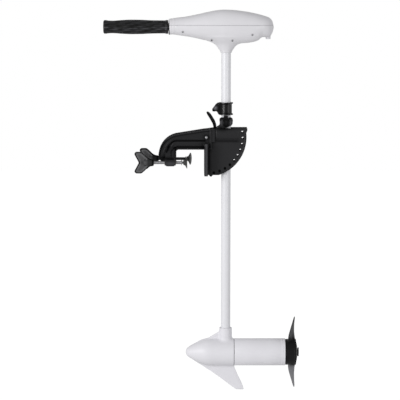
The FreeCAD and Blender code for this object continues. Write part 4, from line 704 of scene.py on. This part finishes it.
def collar(x, y, z):
    """The split depth collar, flanged at both ends, with the thumb screw's pad on its front."""
    across = x - SHAFT_X
    reach = np.hypot(across, y)
    middle = np.abs(z - COLLAR_Z)
    flange = ease(middle, 13.4, 15.6)
    ribs = 0.6 * (0.5 + 0.5 * collar_rib(x, y)) * (1.0 - flange)
    ring = round_and(reach - 17.2 - 3.9 * flange - ribs, middle - 18.7, 0.7)
    pad = round_and(np.hypot(y, z - THUMB_Z) - 13.4, span(across, -25.4, -10.0), 1.0)
    ears = block(across, y, z, (-24.0, -13.0, 140.4), (0.0, 13.0, 173.6), 2.4)
    whole = smooth_min(smooth_min(ring, pad, 1.5), ears, 1.5)
    split = block(across, y, z, (14.0, -0.9, 130.0), (26.0, 0.9, 185.0), 0.2)
    whole = np.maximum(whole, -split)
    bore = np.minimum(reach - 14.35, np.maximum(np.hypot(y, z - THUMB_Z) - STUD_BORE, across))
    return smooth_max(whole, -bore, 0.4)


def collar_dark(x, y, z):
    """Painted highlights on the ribs, and painted shade on the front round the pad."""
    front = 1.0 - ease(x, 49.0, 54.0)
    return 0.42 - 0.4 * np.maximum(collar_rib(x, y), -0.6) * (1.0 - front) + 0.25 * front


skin("collar_body", collar, (36.5, -23.5, 135), (89.5, 23.5, 179), 0.7, PAINTS["collar_black"],
     ["depth_collar"], "collar", 0.9, collar_dark)

THUMB = curve([(0.0, 16.6), (2.6, 16.0), (7.7, 12.0), (13.7, 8.6), (17.0, 6.2), (19.2, 4.4),
               (20.4, 3.4)])
THUMB_RISE = curve([(0.0, 2.2), (2.6, 2.9), (7.7, 3.8), (13.7, 0.1), (19.2, -3.0), (20.4, -3.2)])
THUMB_FACE = 44.4


def thumb_screw(x, y, z):
    """The thumb screw: a tapering lobed head whose middle line bends, on a short stud."""
    out = THUMB_FACE - x
    up = z - THUMB_Z
    radius = np.hypot(y, up - THUMB_RISE(out))
    turn = np.arctan2(up, y)
    size = THUMB(out)
    size = size - (0.2 + 1.0 * (1.0 - ease(out, 8.0, 14.0))) * (0.5 + 0.5 * np.cos(6 * turn))
    head = round_and((radius - size) * 0.8, span(out, 0.0, 20.4), 1.2)
    stud = drum(y, up, x, 3.95, 38.0, 50.6, 0.4)
    return smooth_min(head, stud, 0.5)


def thumb_dark(x, y, z):
    """Dark, with one painted highlight on the near side."""
    shine = swell(x, 33.8, 3.8) * swell(z, 158.8, 4.6) * (y < 0.0)
    return 0.65 - 10.0 * shine


skin("thumb_screw", thumb_screw, (20, -19.5, 138), (53, 19.5, 178), 0.65, BLACK,
     ["depth_thumb_screw"], "thumb_screw", 0.6, thumb_dark)


# Clamp screws: pads, threaded rods and wing knobs

WING = [(-3.0, 10.0), (-10.0, 10.8), (-19.0, 15.8), (-27.8, 24.6), (-35.4, 31.2), (-39.5, 32.3),
        (-52.0, 32.3), (-56.6, 29.6), (-57.9, 25.4), (-56.4, 22.0), (-45.6, 2.0), (-45.4, 0.0)]
WINGS = WING + [(x, -z) for x, z in reversed(WING[:-1])]
ROD_RADIUS = 4.7
THREAD_PITCH = 1.5875
THREAD_DEPTH = 0.42
THREAD_STEP = 0.4
THREAD_END = 5.9        # behind the middle of the ball
BALL_RADIUS = 5.0
BALL_BACK = 6.1
SOCKET_RADIUS = 5.7
SOCKET_BACK = 9.0


def wing_knob(start, across):
    """A two-winged knob that ends at start: sunk wings with a spine, and a fluted barrel."""
    def field(x, y, z):
        along = x - start
        side = y - across
        edge = outline_field(along, z, WINGS)
        sunk = 2.6 * (1.0 - ease(edge, -3.4, -2.2)) * (along < -22)
        spine = 0.6 * (1.0 - ease(np.abs(np.abs(z) - (-along - 24.0) * 1.15), 0.8, 1.8))
        wings = round_and(edge, np.abs(side) - 4.4 + np.clip(sunk - spine, 0.0, 2.0), 1.1)
        reach = np.hypot(side, z)
        turn = np.arctan2(z, side)
        flutes = 0.35 * (0.5 - 0.5 * np.cos(turn * 12.0)) * ease(along, -16.0, -14.0)
        barrel = round_and(reach - 9.2 + flutes, span(along, -30.0, -0.1), 1.4)
        whole = smooth_min(wings, barrel, 2.4)
        return smooth_max(whole, -np.maximum(reach - 4.75, -18.9 - along), 0.3)

    return field


def wing_dark(start, shade):
    """Painted shade along the edges, a painted highlight on a ridge inside them, painted shade on the
    middle and the barrel, and more painted shade on the far knob.
    """
    def dark(x, y, z):
        along = x - start
        edge = -outline_field(along, z, WINGS)
        line = 1.0 - ease(edge, 1.6, 3.4 + 3.0 * shade)
        ridge = swell(edge, 5.6 + 2.0 * shade, 1.8) * (along < -20.0)
        middle = swell(along, -40.0, 5.0) * swell(z, 0.0, 5.0)
        neck = ease(along, -24.0, -16.0) * 0.6
        return np.minimum((0.8 + shade) * line - 1.1 * ridge + 0.7 * middle + neck + 0.6 * shade, 0.95)

    return dark


def threads(along, turn):
    """How far the thread cuts into the rod, from the knob's end of it on."""
    phase = (along / THREAD_PITCH + turn / (2 * math.pi)) % 1.0
    return -THREAD_DEPTH * np.abs(2.0 * phase - 1.0) * ease(along, 20.0, 24.0)


def half_round(middle, radius, first, last, steps):
    """Corners round part of a ball on the axis, by their angle in degrees from the front."""
    turns = [math.radians(first + (last - first) * k / steps) for k in range(steps + 1)]
    return [(middle + radius * math.cos(turn), max(AXIS, radius * math.sin(turn))) for turn in turns]


def rod_profile(long):
    """Corners of a rod of that length: a chamfered thread, a neck and a ball end."""
    ball = long - BALL_BACK
    last = int((ball - THREAD_END) / THREAD_STEP) - 1
    return ([(0.0, AXIS), (0.0, 4.2), (0.5, ROD_RADIUS)]
            + [(k * THREAD_STEP, ROD_RADIUS + 0.02) for k in range(3, last)]
            + [(ball - THREAD_END, ROD_RADIUS), (ball - THREAD_END + 0.5, 3.8), (ball - 4.1, 3.3)]
            + half_round(ball, BALL_RADIUS, 135.0, 0.0, 9))


# Corners of a pad: out over its face, back round the rim and the neck, into the socket
PAD = [(0.0, AXIS), (0.0, 11.3), (-0.5, 11.8), (-0.5, 13.9), (0.0, 14.4), (0.0, 16.8),
       (-0.3, 17.8), (-0.6, 18.2), (-1.2, 18.1), (-1.8, 17.2), (-2.8, 15.0), (-4.4, 12.0),
       (-6.6, 9.0), (-9.0, 7.3), (-11.4, 6.7), (-11.9, 6.4), (-11.9, 6.1), (-11.4, 5.8)]
PAD += half_round(-SOCKET_BACK, SOCKET_RADIUS, 90.0, 0.0, 6)


def pad_dark(face, across):
    """A painted highlight ring on the face and a darker neck."""
    def dark(x, y, z):
        reach = np.hypot(y - across, z)
        ring = ease(reach, 4.0, 8.0) * (1.0 - ease(reach, 14.0, 16.5))
        return 0.35 - 0.7 * ease(x, face - 1.4, face - 0.8) * ring + 0.2 * (x < face - SOCKET_BACK)

    return dark


def clamp(name, across, shade, rod_paint, back, lean):
    """One clamp screw, its pad drawn back by a few millimetres and leaning on its ball."""
    knob, screw, plate = ("clamp_" + kind + "_" + name for kind in ("knob", "screw", "pad"))
    knob_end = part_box(knob)[1][0] / MM
    skin("wing_knob_" + name, wing_knob(knob_end, across), (knob_end - 60, across - 10, -35),
         (knob_end + 2, across + 10, 35), 0.75, PAINTS["knob_black"], [knob], screw, 0.5,
         wing_dark(knob_end, shade))
    rod_start, rod_end = (corner[0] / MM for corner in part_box(screw))
    lathe("threaded_rod_" + name, rod_profile(rod_end - rod_start - back), (rod_start, across, 0.0),
          PAINTS[rod_paint], [screw], screw, 28, threads)
    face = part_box(plate)[1][0] / MM - back
    pad = lathe("swivel_pad_" + name, PAD[::-1], (face, across, 0.0), PAINTS["pad_grey"],
                [plate], plate, 64)
    paint_shade_and_tone(pad, pad_dark(face, across))
    centre = Vector((face - SOCKET_BACK, across, 0.0)) * MM
    turned = Matrix.Rotation(math.radians(lean), 4, "Z")
    pad.data.transform(Matrix.Translation(centre) @ turned @ Matrix.Translation(-centre))


clamp("near", -SCREW_Y, 0.0, "rod_dull", 2.6, 0.5)
# The far knob gets more painted shade, and its rod the rod paint with painted shade.
clamp("far", SCREW_Y, 0.35, "rod_shaded", 4.8, -12.0)


# Control head

TOP = curve([(-110, 423.9), (-103, 424.9), (-82, 428.0), (-59, 430.6), (-35, 434.9), (-11, 440.0),
             (12.5, 445.3), (36, 449.8), (60, 451.7), (84, 450.9), (108, 448.4), (131, 445.0),
             (155, 440.0), (179, 433.6), (191, 429.4), (198, 424.6), (203, 417.4), (206.4, 405.0)])
LOW = curve([(-110, 377.6), (-95, 378.1), (-71, 375.1), (-47, 371.6), (-23, 366.9), (0.6, 361.5),
             (20, 357.4), (45, 354.0), (80, 352.0), (120, 352.5), (144, 355.5), (155, 358.4),
             (162, 361.6), (168, 367.0), (174, 370.2), (183, 370.4), (195, 372.0),
             (202, 381.0), (206.4, 394.0)])
HALF = curve([(-110, 23.2), (-103, 23.8), (-82, 26.2), (-45, 32.0), (-10, 38.0), (30, 43.0),
              (65, 46.0), (105, 46.0), (145, 43.2), (175, 37.6), (190, 31.6), (198, 25.0),
              (203, 17.5), (206.4, 7.0)])
HEAD_SCREWS = ((143.0, 378.0), (-63.0, 386.0), (23.0, 362.0), (84.0, 361.0))
COLLAR_RINGS = (-104.0, -95.0, -86.0)
FLARE_LOW = 324.0
SEAM = 0.06


def head(x, y, z):
    """The head's outer shape: an oval body, its flare round the shaft and the cable inlet."""
    top, low, half = TOP(x), LOW(x), HALF(x)
    middle = HANDLE_Z + 5.5 * ease(x, -100.0, -20.0) * (1.0 - ease(x, 160.0, 206.0))
    up = np.where(z > middle, (z - middle) / (top - middle), (middle - z) / (middle - low))
    power = 2.0 + 0.35 * ease(x, -90.0, -10.0)
    ratio = np.maximum((np.abs(y / half) ** power + np.abs(up) ** power) ** (1.0 / power), 1e-6)
    shell = np.hypot(y, z - middle) * (1.0 - 1.0 / ratio) * 0.9
    shell = round_and(shell, span(x, -105.8, 206.9), 2.2)
    across = x - SHAFT_X
    rise = z - FLARE_LOW
    fore = 17.2 + 2.6 * ease(rise, 1, 12) + 20.0 * np.clip((rise - 4) / 27.0, 0, 1.6) ** 1.55
    wide = 17.2 + 10.0 * np.clip((rise - 4) / 27.0, 0, 1.6) ** 1.5
    oval = np.hypot(across / fore, y / wide)
    flare = round_and((oval - 1.0) * np.minimum(fore, wide) * 0.8, span(z, FLARE_LOW, 372.0), 1.2)
    whole = smooth_min(shell, flare, 9.0)
    gland = drum(x - INLET_X, y, z, 7.4, 364.6, 392.0, 1.4)
    whole = smooth_min(whole, gland, 2.0)
    bore = np.hypot(x - INLET_X, y) - 5.0
    whole = smooth_max(whole, -np.maximum(bore, z - 380.0), 0.6)
    for place in COLLAR_RINGS:
        whole = whole + 0.55 * swell(x, place, 0.9)
    for spot_x, spot_z in HEAD_SCREWS:
        pit = np.hypot(x - spot_x, z - spot_z) - 3.1
        whole = smooth_max(whole, -np.maximum(pit, -whole - 2.2), 0.5)
    return whole


def head_dark(x, y, z):
    """Shade in the screw pits."""
    pits = [swell(x, a, 2.8) * swell(z, b, 2.8) for a, b in HEAD_SCREWS]
    return 0.5 * np.maximum.reduce(pits)


def head_bore(x, y, z):
    """Room for the handle's neck and the top of the shaft."""
    neck = np.maximum(np.hypot(y, z - HANDLE_Z) - 20.4, x + 78.0)
    shaft = np.maximum(np.hypot(x - SHAFT_X, y) - SHAFT_BORE, z - 363.0)
    return np.minimum(neck, shaft)


def half_head(side):
    """The part of the head above (1) or below (-1) the parting line."""
    def field(x, y, z):
        whole = smooth_max(head(x, y, z), -head_bore(x, y, z), 0.6)
        return smooth_max(whole, side * (SPLIT_Z - z) + SEAM, 0.3)

    return field


skin("head_top", half_head(1), (-108, -48, 403), (209, 48, 454), 1.2, WHITE,
     ["head_upper_shell"], "motor_unit", 0.5, head_dark)
skin("head_base", half_head(-1), (-108, -48, 322), (209, 48, 409), 1.2, WHITE,
     ["head_lower_shell"], "motor_unit", 0.5, head_dark)


def inlet_ring(x, y, z):
    """The rubber ring in the cable inlet."""
    reach = np.hypot(x - INLET_X, y)
    return round_and(np.maximum(reach - 4.95, 3.2 - reach), span(z, 365.4, 376.0), 0.5)


skin("inlet_ring", inlet_ring, (184, -6, 364), (197, 6, 378), 0.5, PAINTS["seal_rubber"],
     ["cable_gland"], "motor_unit")


# Twist grip

GRIP = curve([(0.0, 12.0), (0.8, 16.6), (2.4, 19.2), (5.0, 20.3), (9.0, 20.1), (16.0, 19.0),
              (28.0, 18.6), (55.0, 20.3), (82.0, 21.5), (110.0, 21.2), (150.0, 19.6),
              (184.0, 19.3)])
GRIP_START = -301.0
GRIP_STEP = 0.8
GRIP_RIBS = 24


def grip_profile():
    """Corners of the sleeve: a closed end, the waisted body and a collar beside the head."""
    body = [(k * GRIP_STEP, float(GRIP(k * GRIP_STEP))) for k in range(1, 230)]
    return ([(0.0, AXIS), (0.0, 6.0), (0.3, 9.0)] + body
            + [(185.2, 19.3), (186.0, 20.0), (186.8, 20.5), (193.0, 20.5), (193.5, 20.0), (193.5, 10.6)])


def grip_wave(along, turn):
    """Fine grooves along the sleeve, fading out at both ends."""
    ribs = -0.55 * (0.5 - 0.5 * np.cos(turn * GRIP_RIBS)) ** 3
    return ribs * ease(along, 22.0, 34.0) * (1.0 - ease(along, 160.0, 176.0))


def grip_dark(x, y, z):
    """Painted highlight streaks along the sleeve, strongest low down, then pale ticks beside its collar
    and a darker ring on it.
    """
    up = z - HANDLE_Z
    # painted highlight streaks, brighter low on the sleeve
    glint_streaks = np.sin(x * 0.09 + 0.3 * up) * np.sin(x * 0.052 - 0.8 * up)
    low = swell(up, -4.0, 5.0)
    ticks = swell(x, -115.0, 2.6) * (np.sin(np.arctan2(y, up) * 9.0) > 0.3)
    end = swell(x, -110.0, 2.2)
    return 0.25 - 2.6 * np.maximum(glint_streaks, 0.0) * (0.3 + low) - 3.0 * ticks + 0.6 * end


sleeve = lathe("grip_rubber_sleeve", grip_profile(), (GRIP_START, 0.0, HANDLE_Z),
               PAINTS["grip_rubber"], ["twist_grip"], "grip", 192, grip_wave)
paint_shade_and_tone(sleeve, grip_dark)


# Lower unit

NOSE = curve([(-56.4, 2.0), (-55.6, 5.2), (-54.0, 8.8), (-51.0, 12.6), (-46.5, 16.2), (-41.9, 19.2),
              (-32.7, 24.6), (-23.5, 29.2), (-14.4, 33.2), (-5.2, 36.6), (4.0, 39.2), (14.0, 40.8),
              (22.0, MOTOR_RADIUS), (92.0, MOTOR_RADIUS)])
FAIRING = [(-30.0, -567.0), (-14.4, -553.0), (-5.0, -549.0), (10.1, -545.2), (25.3, -536.0),
           (40.6, -526.6), (54.0, -518.0), (62.0, -530.0), (66.0, -560.0)]
SKEG = [(-26.0, -612.0), (-14.0, -623.2), (4.0, -636.4), (22.4, -648.4), (40.8, -661.8),
        (59.2, -675.8), (77.6, -690.0), (89.9, -699.4), (95.0, -703.4), (100.0, -705.6),
        (119.5, -705.9), (121.6, -704.6), (121.7, -701.6), (111.9, -676.8), (103.2, -661.0),
        (96.8, -645.2), (91.0, -632.0), (87.0, -618.0), (60.0, -600.0)]


NOSE_START, NOSE_END = -56.4, 90.9
SOCKET_LOW, SOCKET_TOP = -590.0, -511.6


def nose(x, y, z):
    """The nose with the shaft's socket, the fairing in front of it and the skeg below."""
    up = z - MOTOR_Z
    radius = np.hypot(y, up)
    hull = np.maximum((radius - NOSE(x)) * 0.75, span(x, NOSE_START, NOSE_END))
    hull = smooth_max(hull, x - 90.8, 0.8)
    reach = np.hypot(x - SHAFT_X, y)
    taper = 0.4 * ease(z, -560.0, -512.0)
    socket = round_and(reach - 19.6 + taper, span(z, SOCKET_LOW, SOCKET_TOP), 1.6)
    fairing = round_and(outline_field(x, z, FAIRING), np.abs(y) - 3.6, 2.6)
    thick = 1.2 + 2.6 * ease(z, -706.0, -625.0)
    edge = outline_field(x, z, SKEG)
    skeg = round_and(edge, np.abs(y) - thick + 0.9 * (1.0 - ease(-edge, 0.0, 9.0)), 0.8)
    whole = smooth_min(hull, socket, 7.0)
    whole = smooth_min(whole, fairing, 4.5)
    whole = smooth_min(whole, skeg, 8.0)
    whole = np.maximum(whole, x - 90.85 - 60.0 * (up < -41.5))
    shaft = np.maximum(reach - SHAFT_BORE, -548.0 - z)
    return smooth_max(whole, -shaft, 0.5)


skin("motor_nose", nose, (-59, -44, -708), (125, 44, -508), 1.3, PAINTS["motor_white"],
     ["nose_housing"], "motor_unit", 0.8)

TUBE = [(92.0, 38.4), (92.0, 40.4), (92.4, 41.0), (93.0, MOTOR_RADIUS), (150.0, MOTOR_RADIUS),
        (200.0, MOTOR_RADIUS), (234.6, MOTOR_RADIUS), (235.0, 41.1), (235.4, 41.1),
        (235.8, MOTOR_RADIUS), (239.2, MOTOR_RADIUS), (239.6, 41.1), (239.9, 40.6), (239.9, 38.4)]
BELL = [(240.1, 38.4), (240.1, 40.6), (240.5, 41.1), (241.0, MOTOR_RADIUS), (245.4, MOTOR_RADIUS),
        (246.3, 40.9), (246.9, 40.2), (247.0, 39.0), (247.0, 30.0), (246.6, 29.4), (246.6, 12.0),
        (246.2, 11.4), (246.2, 9.0), (243.0, 9.0)]
for name, profile, node in (("motor_barrel", TUBE, "motor_tube"), ("rear_bell", BELL, "end_bell")):
    lathe(name, profile, (0.0, 0.0, MOTOR_Z), PAINTS["motor_white"], [node], "motor_unit", 128)


# Propeller

BLADE_MIDDLE = curve([(36.0, 267.0), (60.0, 267.6), (80.0, 270.4), (100.0, 274.4), (110.0, 275.9)])
BLADE_HALF = curve([(36.0, 10.6), (50.0, 10.4), (70.0, 8.0), (90.0, 4.6), (103.0, 2.6), (109.2, 0.9)])
BLADE_TIP = 109.2
BLADE_ROOT = 30.0
BLADE_PITCH = 150.0
LOWER_BLADE = 0.8
HUB_REAR = 274.0


def propeller(x, y, z):
    """The domed hub and two blades whose angle follows one pitch from root to tip."""
    up = z - MOTOR_Z
    radius = np.hypot(y, up)
    drum_part = drum(y, up, x, 39.4, 247.9, 280.2, 1.6)
    dome = (np.hypot((x - HUB_REAR) / 11.0, radius / 40.0) - 1.0) * 9.0
    hub = smooth_min(drum_part, np.maximum(dome, HUB_REAR - x), 1.0)
    cup = np.maximum(radius - 35.5, x - 253.6)
    hub = smooth_max(hub, -cup, 0.8)
    hub = hub + 0.35 * swell(x, 255.0, 0.7) + 0.35 * swell(x, 276.0, 0.7)
    blades = 1e3
    for side in (1.0, -1.0):
        rise = up * side
        reach = np.clip(np.hypot(rise, y), BLADE_ROOT, 110.0)
        slope = np.arctan(BLADE_PITCH / (2 * math.pi * reach))
        middle = BLADE_MIDDLE(reach)
        half = BLADE_HALF(reach) * (1.0 if side > 0 else LOWER_BLADE) / np.sin(slope)
        off_x = x - middle
        off_y = y * side
        chord = off_x * np.sin(slope) + off_y * np.cos(slope)
        normal = off_x * np.cos(slope) - off_y * np.sin(slope)
        part = np.clip(1.0 - (chord / half) ** 2, 0.0, 1.0)
        thick = (0.7 + 2.4 * (1.0 - (reach - 36.0) / 74.0)) * np.sqrt(part) + 0.2
        normal = normal + 1.4 * (chord / half) ** 2
        one = round_and(np.abs(normal) - thick, np.abs(chord) - half, 0.4) * 0.8
        one = np.maximum(one, np.maximum(reach - BLADE_TIP, BLADE_ROOT - rise))
        blades = np.minimum(blades, one)
    whole = smooth_min(hub, blades, 5.0)
    axle = np.maximum(radius - STUD_BORE, 253.0 - x)
    return smooth_max(whole, -axle, 0.3)


def propeller_dark(x, y, z):
    """A dark hub, and blades that catch more light, most of all the lower one."""
    up = z - MOTOR_Z
    radius = np.hypot(y, up)
    blade = ease(radius, 39.0, 46.0)
    fore = 1.0 - ease(x, 264.0, 272.0)
    return 0.7 - blade * (0.2 + 0.6 * fore + 5.4 * (up < 0.0))


skin("propeller_moulding", propeller, (247, -46, MOTOR_Z - 112), (290, 46, MOTOR_Z + 112), 0.9,
     PAINTS["propeller_black"], ["propeller"], "rotor", 0.6, propeller_dark)


# Floor, light and camera, in metres

FLOOR_HALF = 6
FLOOR_GAP = 0.012
CAMERA_TILT = math.radians(7.5)
CAMERA_TARGET = Vector((-12.6, 0.0, -119.6)) * MM
CAMERA_AWAY = 5.0
VIEW_WIDTH = 1.208
SENSOR_WIDTH = 36.0


def white_glow(tree, strength):
    node = tree.nodes.new("ShaderNodeEmission")
    node.inputs["Color"].default_value = (1.0, 1.0, 1.0, 1.0)
    node.inputs["Strength"].default_value = strength
    return node.outputs[0]


def pale_floor():
    """A flat floor, white to the camera and dimmer in the light that it throws up."""
    made = bpy.data.materials.new("pale_floor")
    made.use_nodes = True
    tree = made.node_tree
    out = tree.nodes["Material Output"]
    tree.nodes.remove(tree.nodes["Principled BSDF"])
    soft = tree.nodes.new("ShaderNodeBsdfDiffuse")
    soft.inputs["Color"].default_value = (0.1, 0.1, 0.1, 1.0)
    both = tree.nodes.new("ShaderNodeAddShader")
    tree.links.new(soft.outputs[0], both.inputs[0])
    tree.links.new(white_glow(tree, 0.98), both.inputs[1])
    dim = tree.nodes.new("ShaderNodeMixShader")
    path = tree.nodes.new("ShaderNodeLightPath")
    tree.links.new(path.outputs["Is Camera Ray"], dim.inputs["Fac"])
    tree.links.new(white_glow(tree, 0.6), dim.inputs[1])
    tree.links.new(both.outputs[0], dim.inputs[2])
    tree.links.new(dim.outputs[0], out.inputs["Surface"])
    mesh = bpy.data.meshes.new("floor")
    corners = [(-1, -1), (1, -1), (1, 1), (-1, 1)]
    mesh.from_pydata([(a * FLOOR_HALF, b * FLOOR_HALF, 0) for a, b in corners], [], [(0, 1, 2, 3)])
    mesh.materials.append(made)
    item = bpy.data.objects.new("floor", mesh)
    item.location.z = cad_box[0][2] - FLOOR_GAP
    bpy.context.scene.collection.objects.link(item)


def sky():
    """White to the camera; as a light, brightest from the sides and dimmer from above and below."""
    world = bpy.data.worlds.new("studio")
    bpy.context.scene.world = world
    world.use_nodes = True
    tree = world.node_tree
    out = tree.nodes["World Output"]
    seen = tree.nodes["Background"]
    seen.inputs["Color"].default_value = (1, 1, 1, 1)
    seen.inputs["Strength"].default_value = 1.0
    cast = tree.nodes.new("ShaderNodeBackground")
    cast.inputs["Color"].default_value = (1, 1, 1, 1)
    place = tree.nodes.new("ShaderNodeTexCoord")
    axes = tree.nodes.new("ShaderNodeSeparateXYZ")
    tree.links.new(place.outputs["Generated"], axes.inputs[0])
    height = sum_node(tree, "ABSOLUTE", axes.outputs["Z"], 0.0)
    fade = tree.nodes.new("ShaderNodeMapRange")
    fade.inputs["From Min"].default_value = 0.2
    fade.inputs["From Max"].default_value = 0.9
    fade.inputs["To Min"].default_value = 0.62
    fade.inputs["To Max"].default_value = 0.48
    tree.links.new(height, fade.inputs["Value"])
    tree.links.new(fade.outputs["Result"], cast.inputs["Strength"])
    path = tree.nodes.new("ShaderNodeLightPath")
    mix = tree.nodes.new("ShaderNodeMixShader")
    tree.links.new(path.outputs["Is Camera Ray"], mix.inputs["Fac"])
    tree.links.new(cast.outputs[0], mix.inputs[1])
    tree.links.new(seen.outputs[0], mix.inputs[2])
    tree.links.new(mix.outputs[0], out.inputs["Surface"])


def lamp(name, place, target, size, power):
    """A round soft light that shines from a place towards a target."""
    data = bpy.data.lights.new(name, "AREA")
    data.shape = "DISK"
    data.size = size
    data.energy = power
    item = bpy.data.objects.new(name, data)
    item.location = place
    aim = Vector(target) - Vector(place)
    item.rotation_mode = "QUATERNION"
    item.rotation_quaternion = aim.to_track_quat("-Z", "Y")
    bpy.context.scene.collection.objects.link(item)


def camera():
    """Looks across the boat at the middle of the motor, a little from above."""
    aim = Vector((0, math.cos(CAMERA_TILT), -math.sin(CAMERA_TILT)))
    data = bpy.data.cameras.new("camera")
    data.sensor_width = SENSOR_WIDTH
    data.lens = SENSOR_WIDTH * CAMERA_AWAY / VIEW_WIDTH
    data.clip_end = 60.0
    item = bpy.data.objects.new("camera", data)
    item.location = CAMERA_TARGET - aim * CAMERA_AWAY
    item.rotation_mode = "QUATERNION"
    item.rotation_quaternion = aim.to_track_quat("-Z", "Y")
    bpy.context.scene.collection.objects.link(item)
    bpy.context.scene.camera = item


pale_floor()
sky()
lamp("key", (-3.2, -3.0, 0.6), (0, 0, -0.2), 2.2, 98.0)
lamp("fill", (2.6, -3.8, -0.3), (0, 0, -0.2), 2.0, 30.0)
camera()
bpy.context.scene.view_settings.view_transform = "Standard"
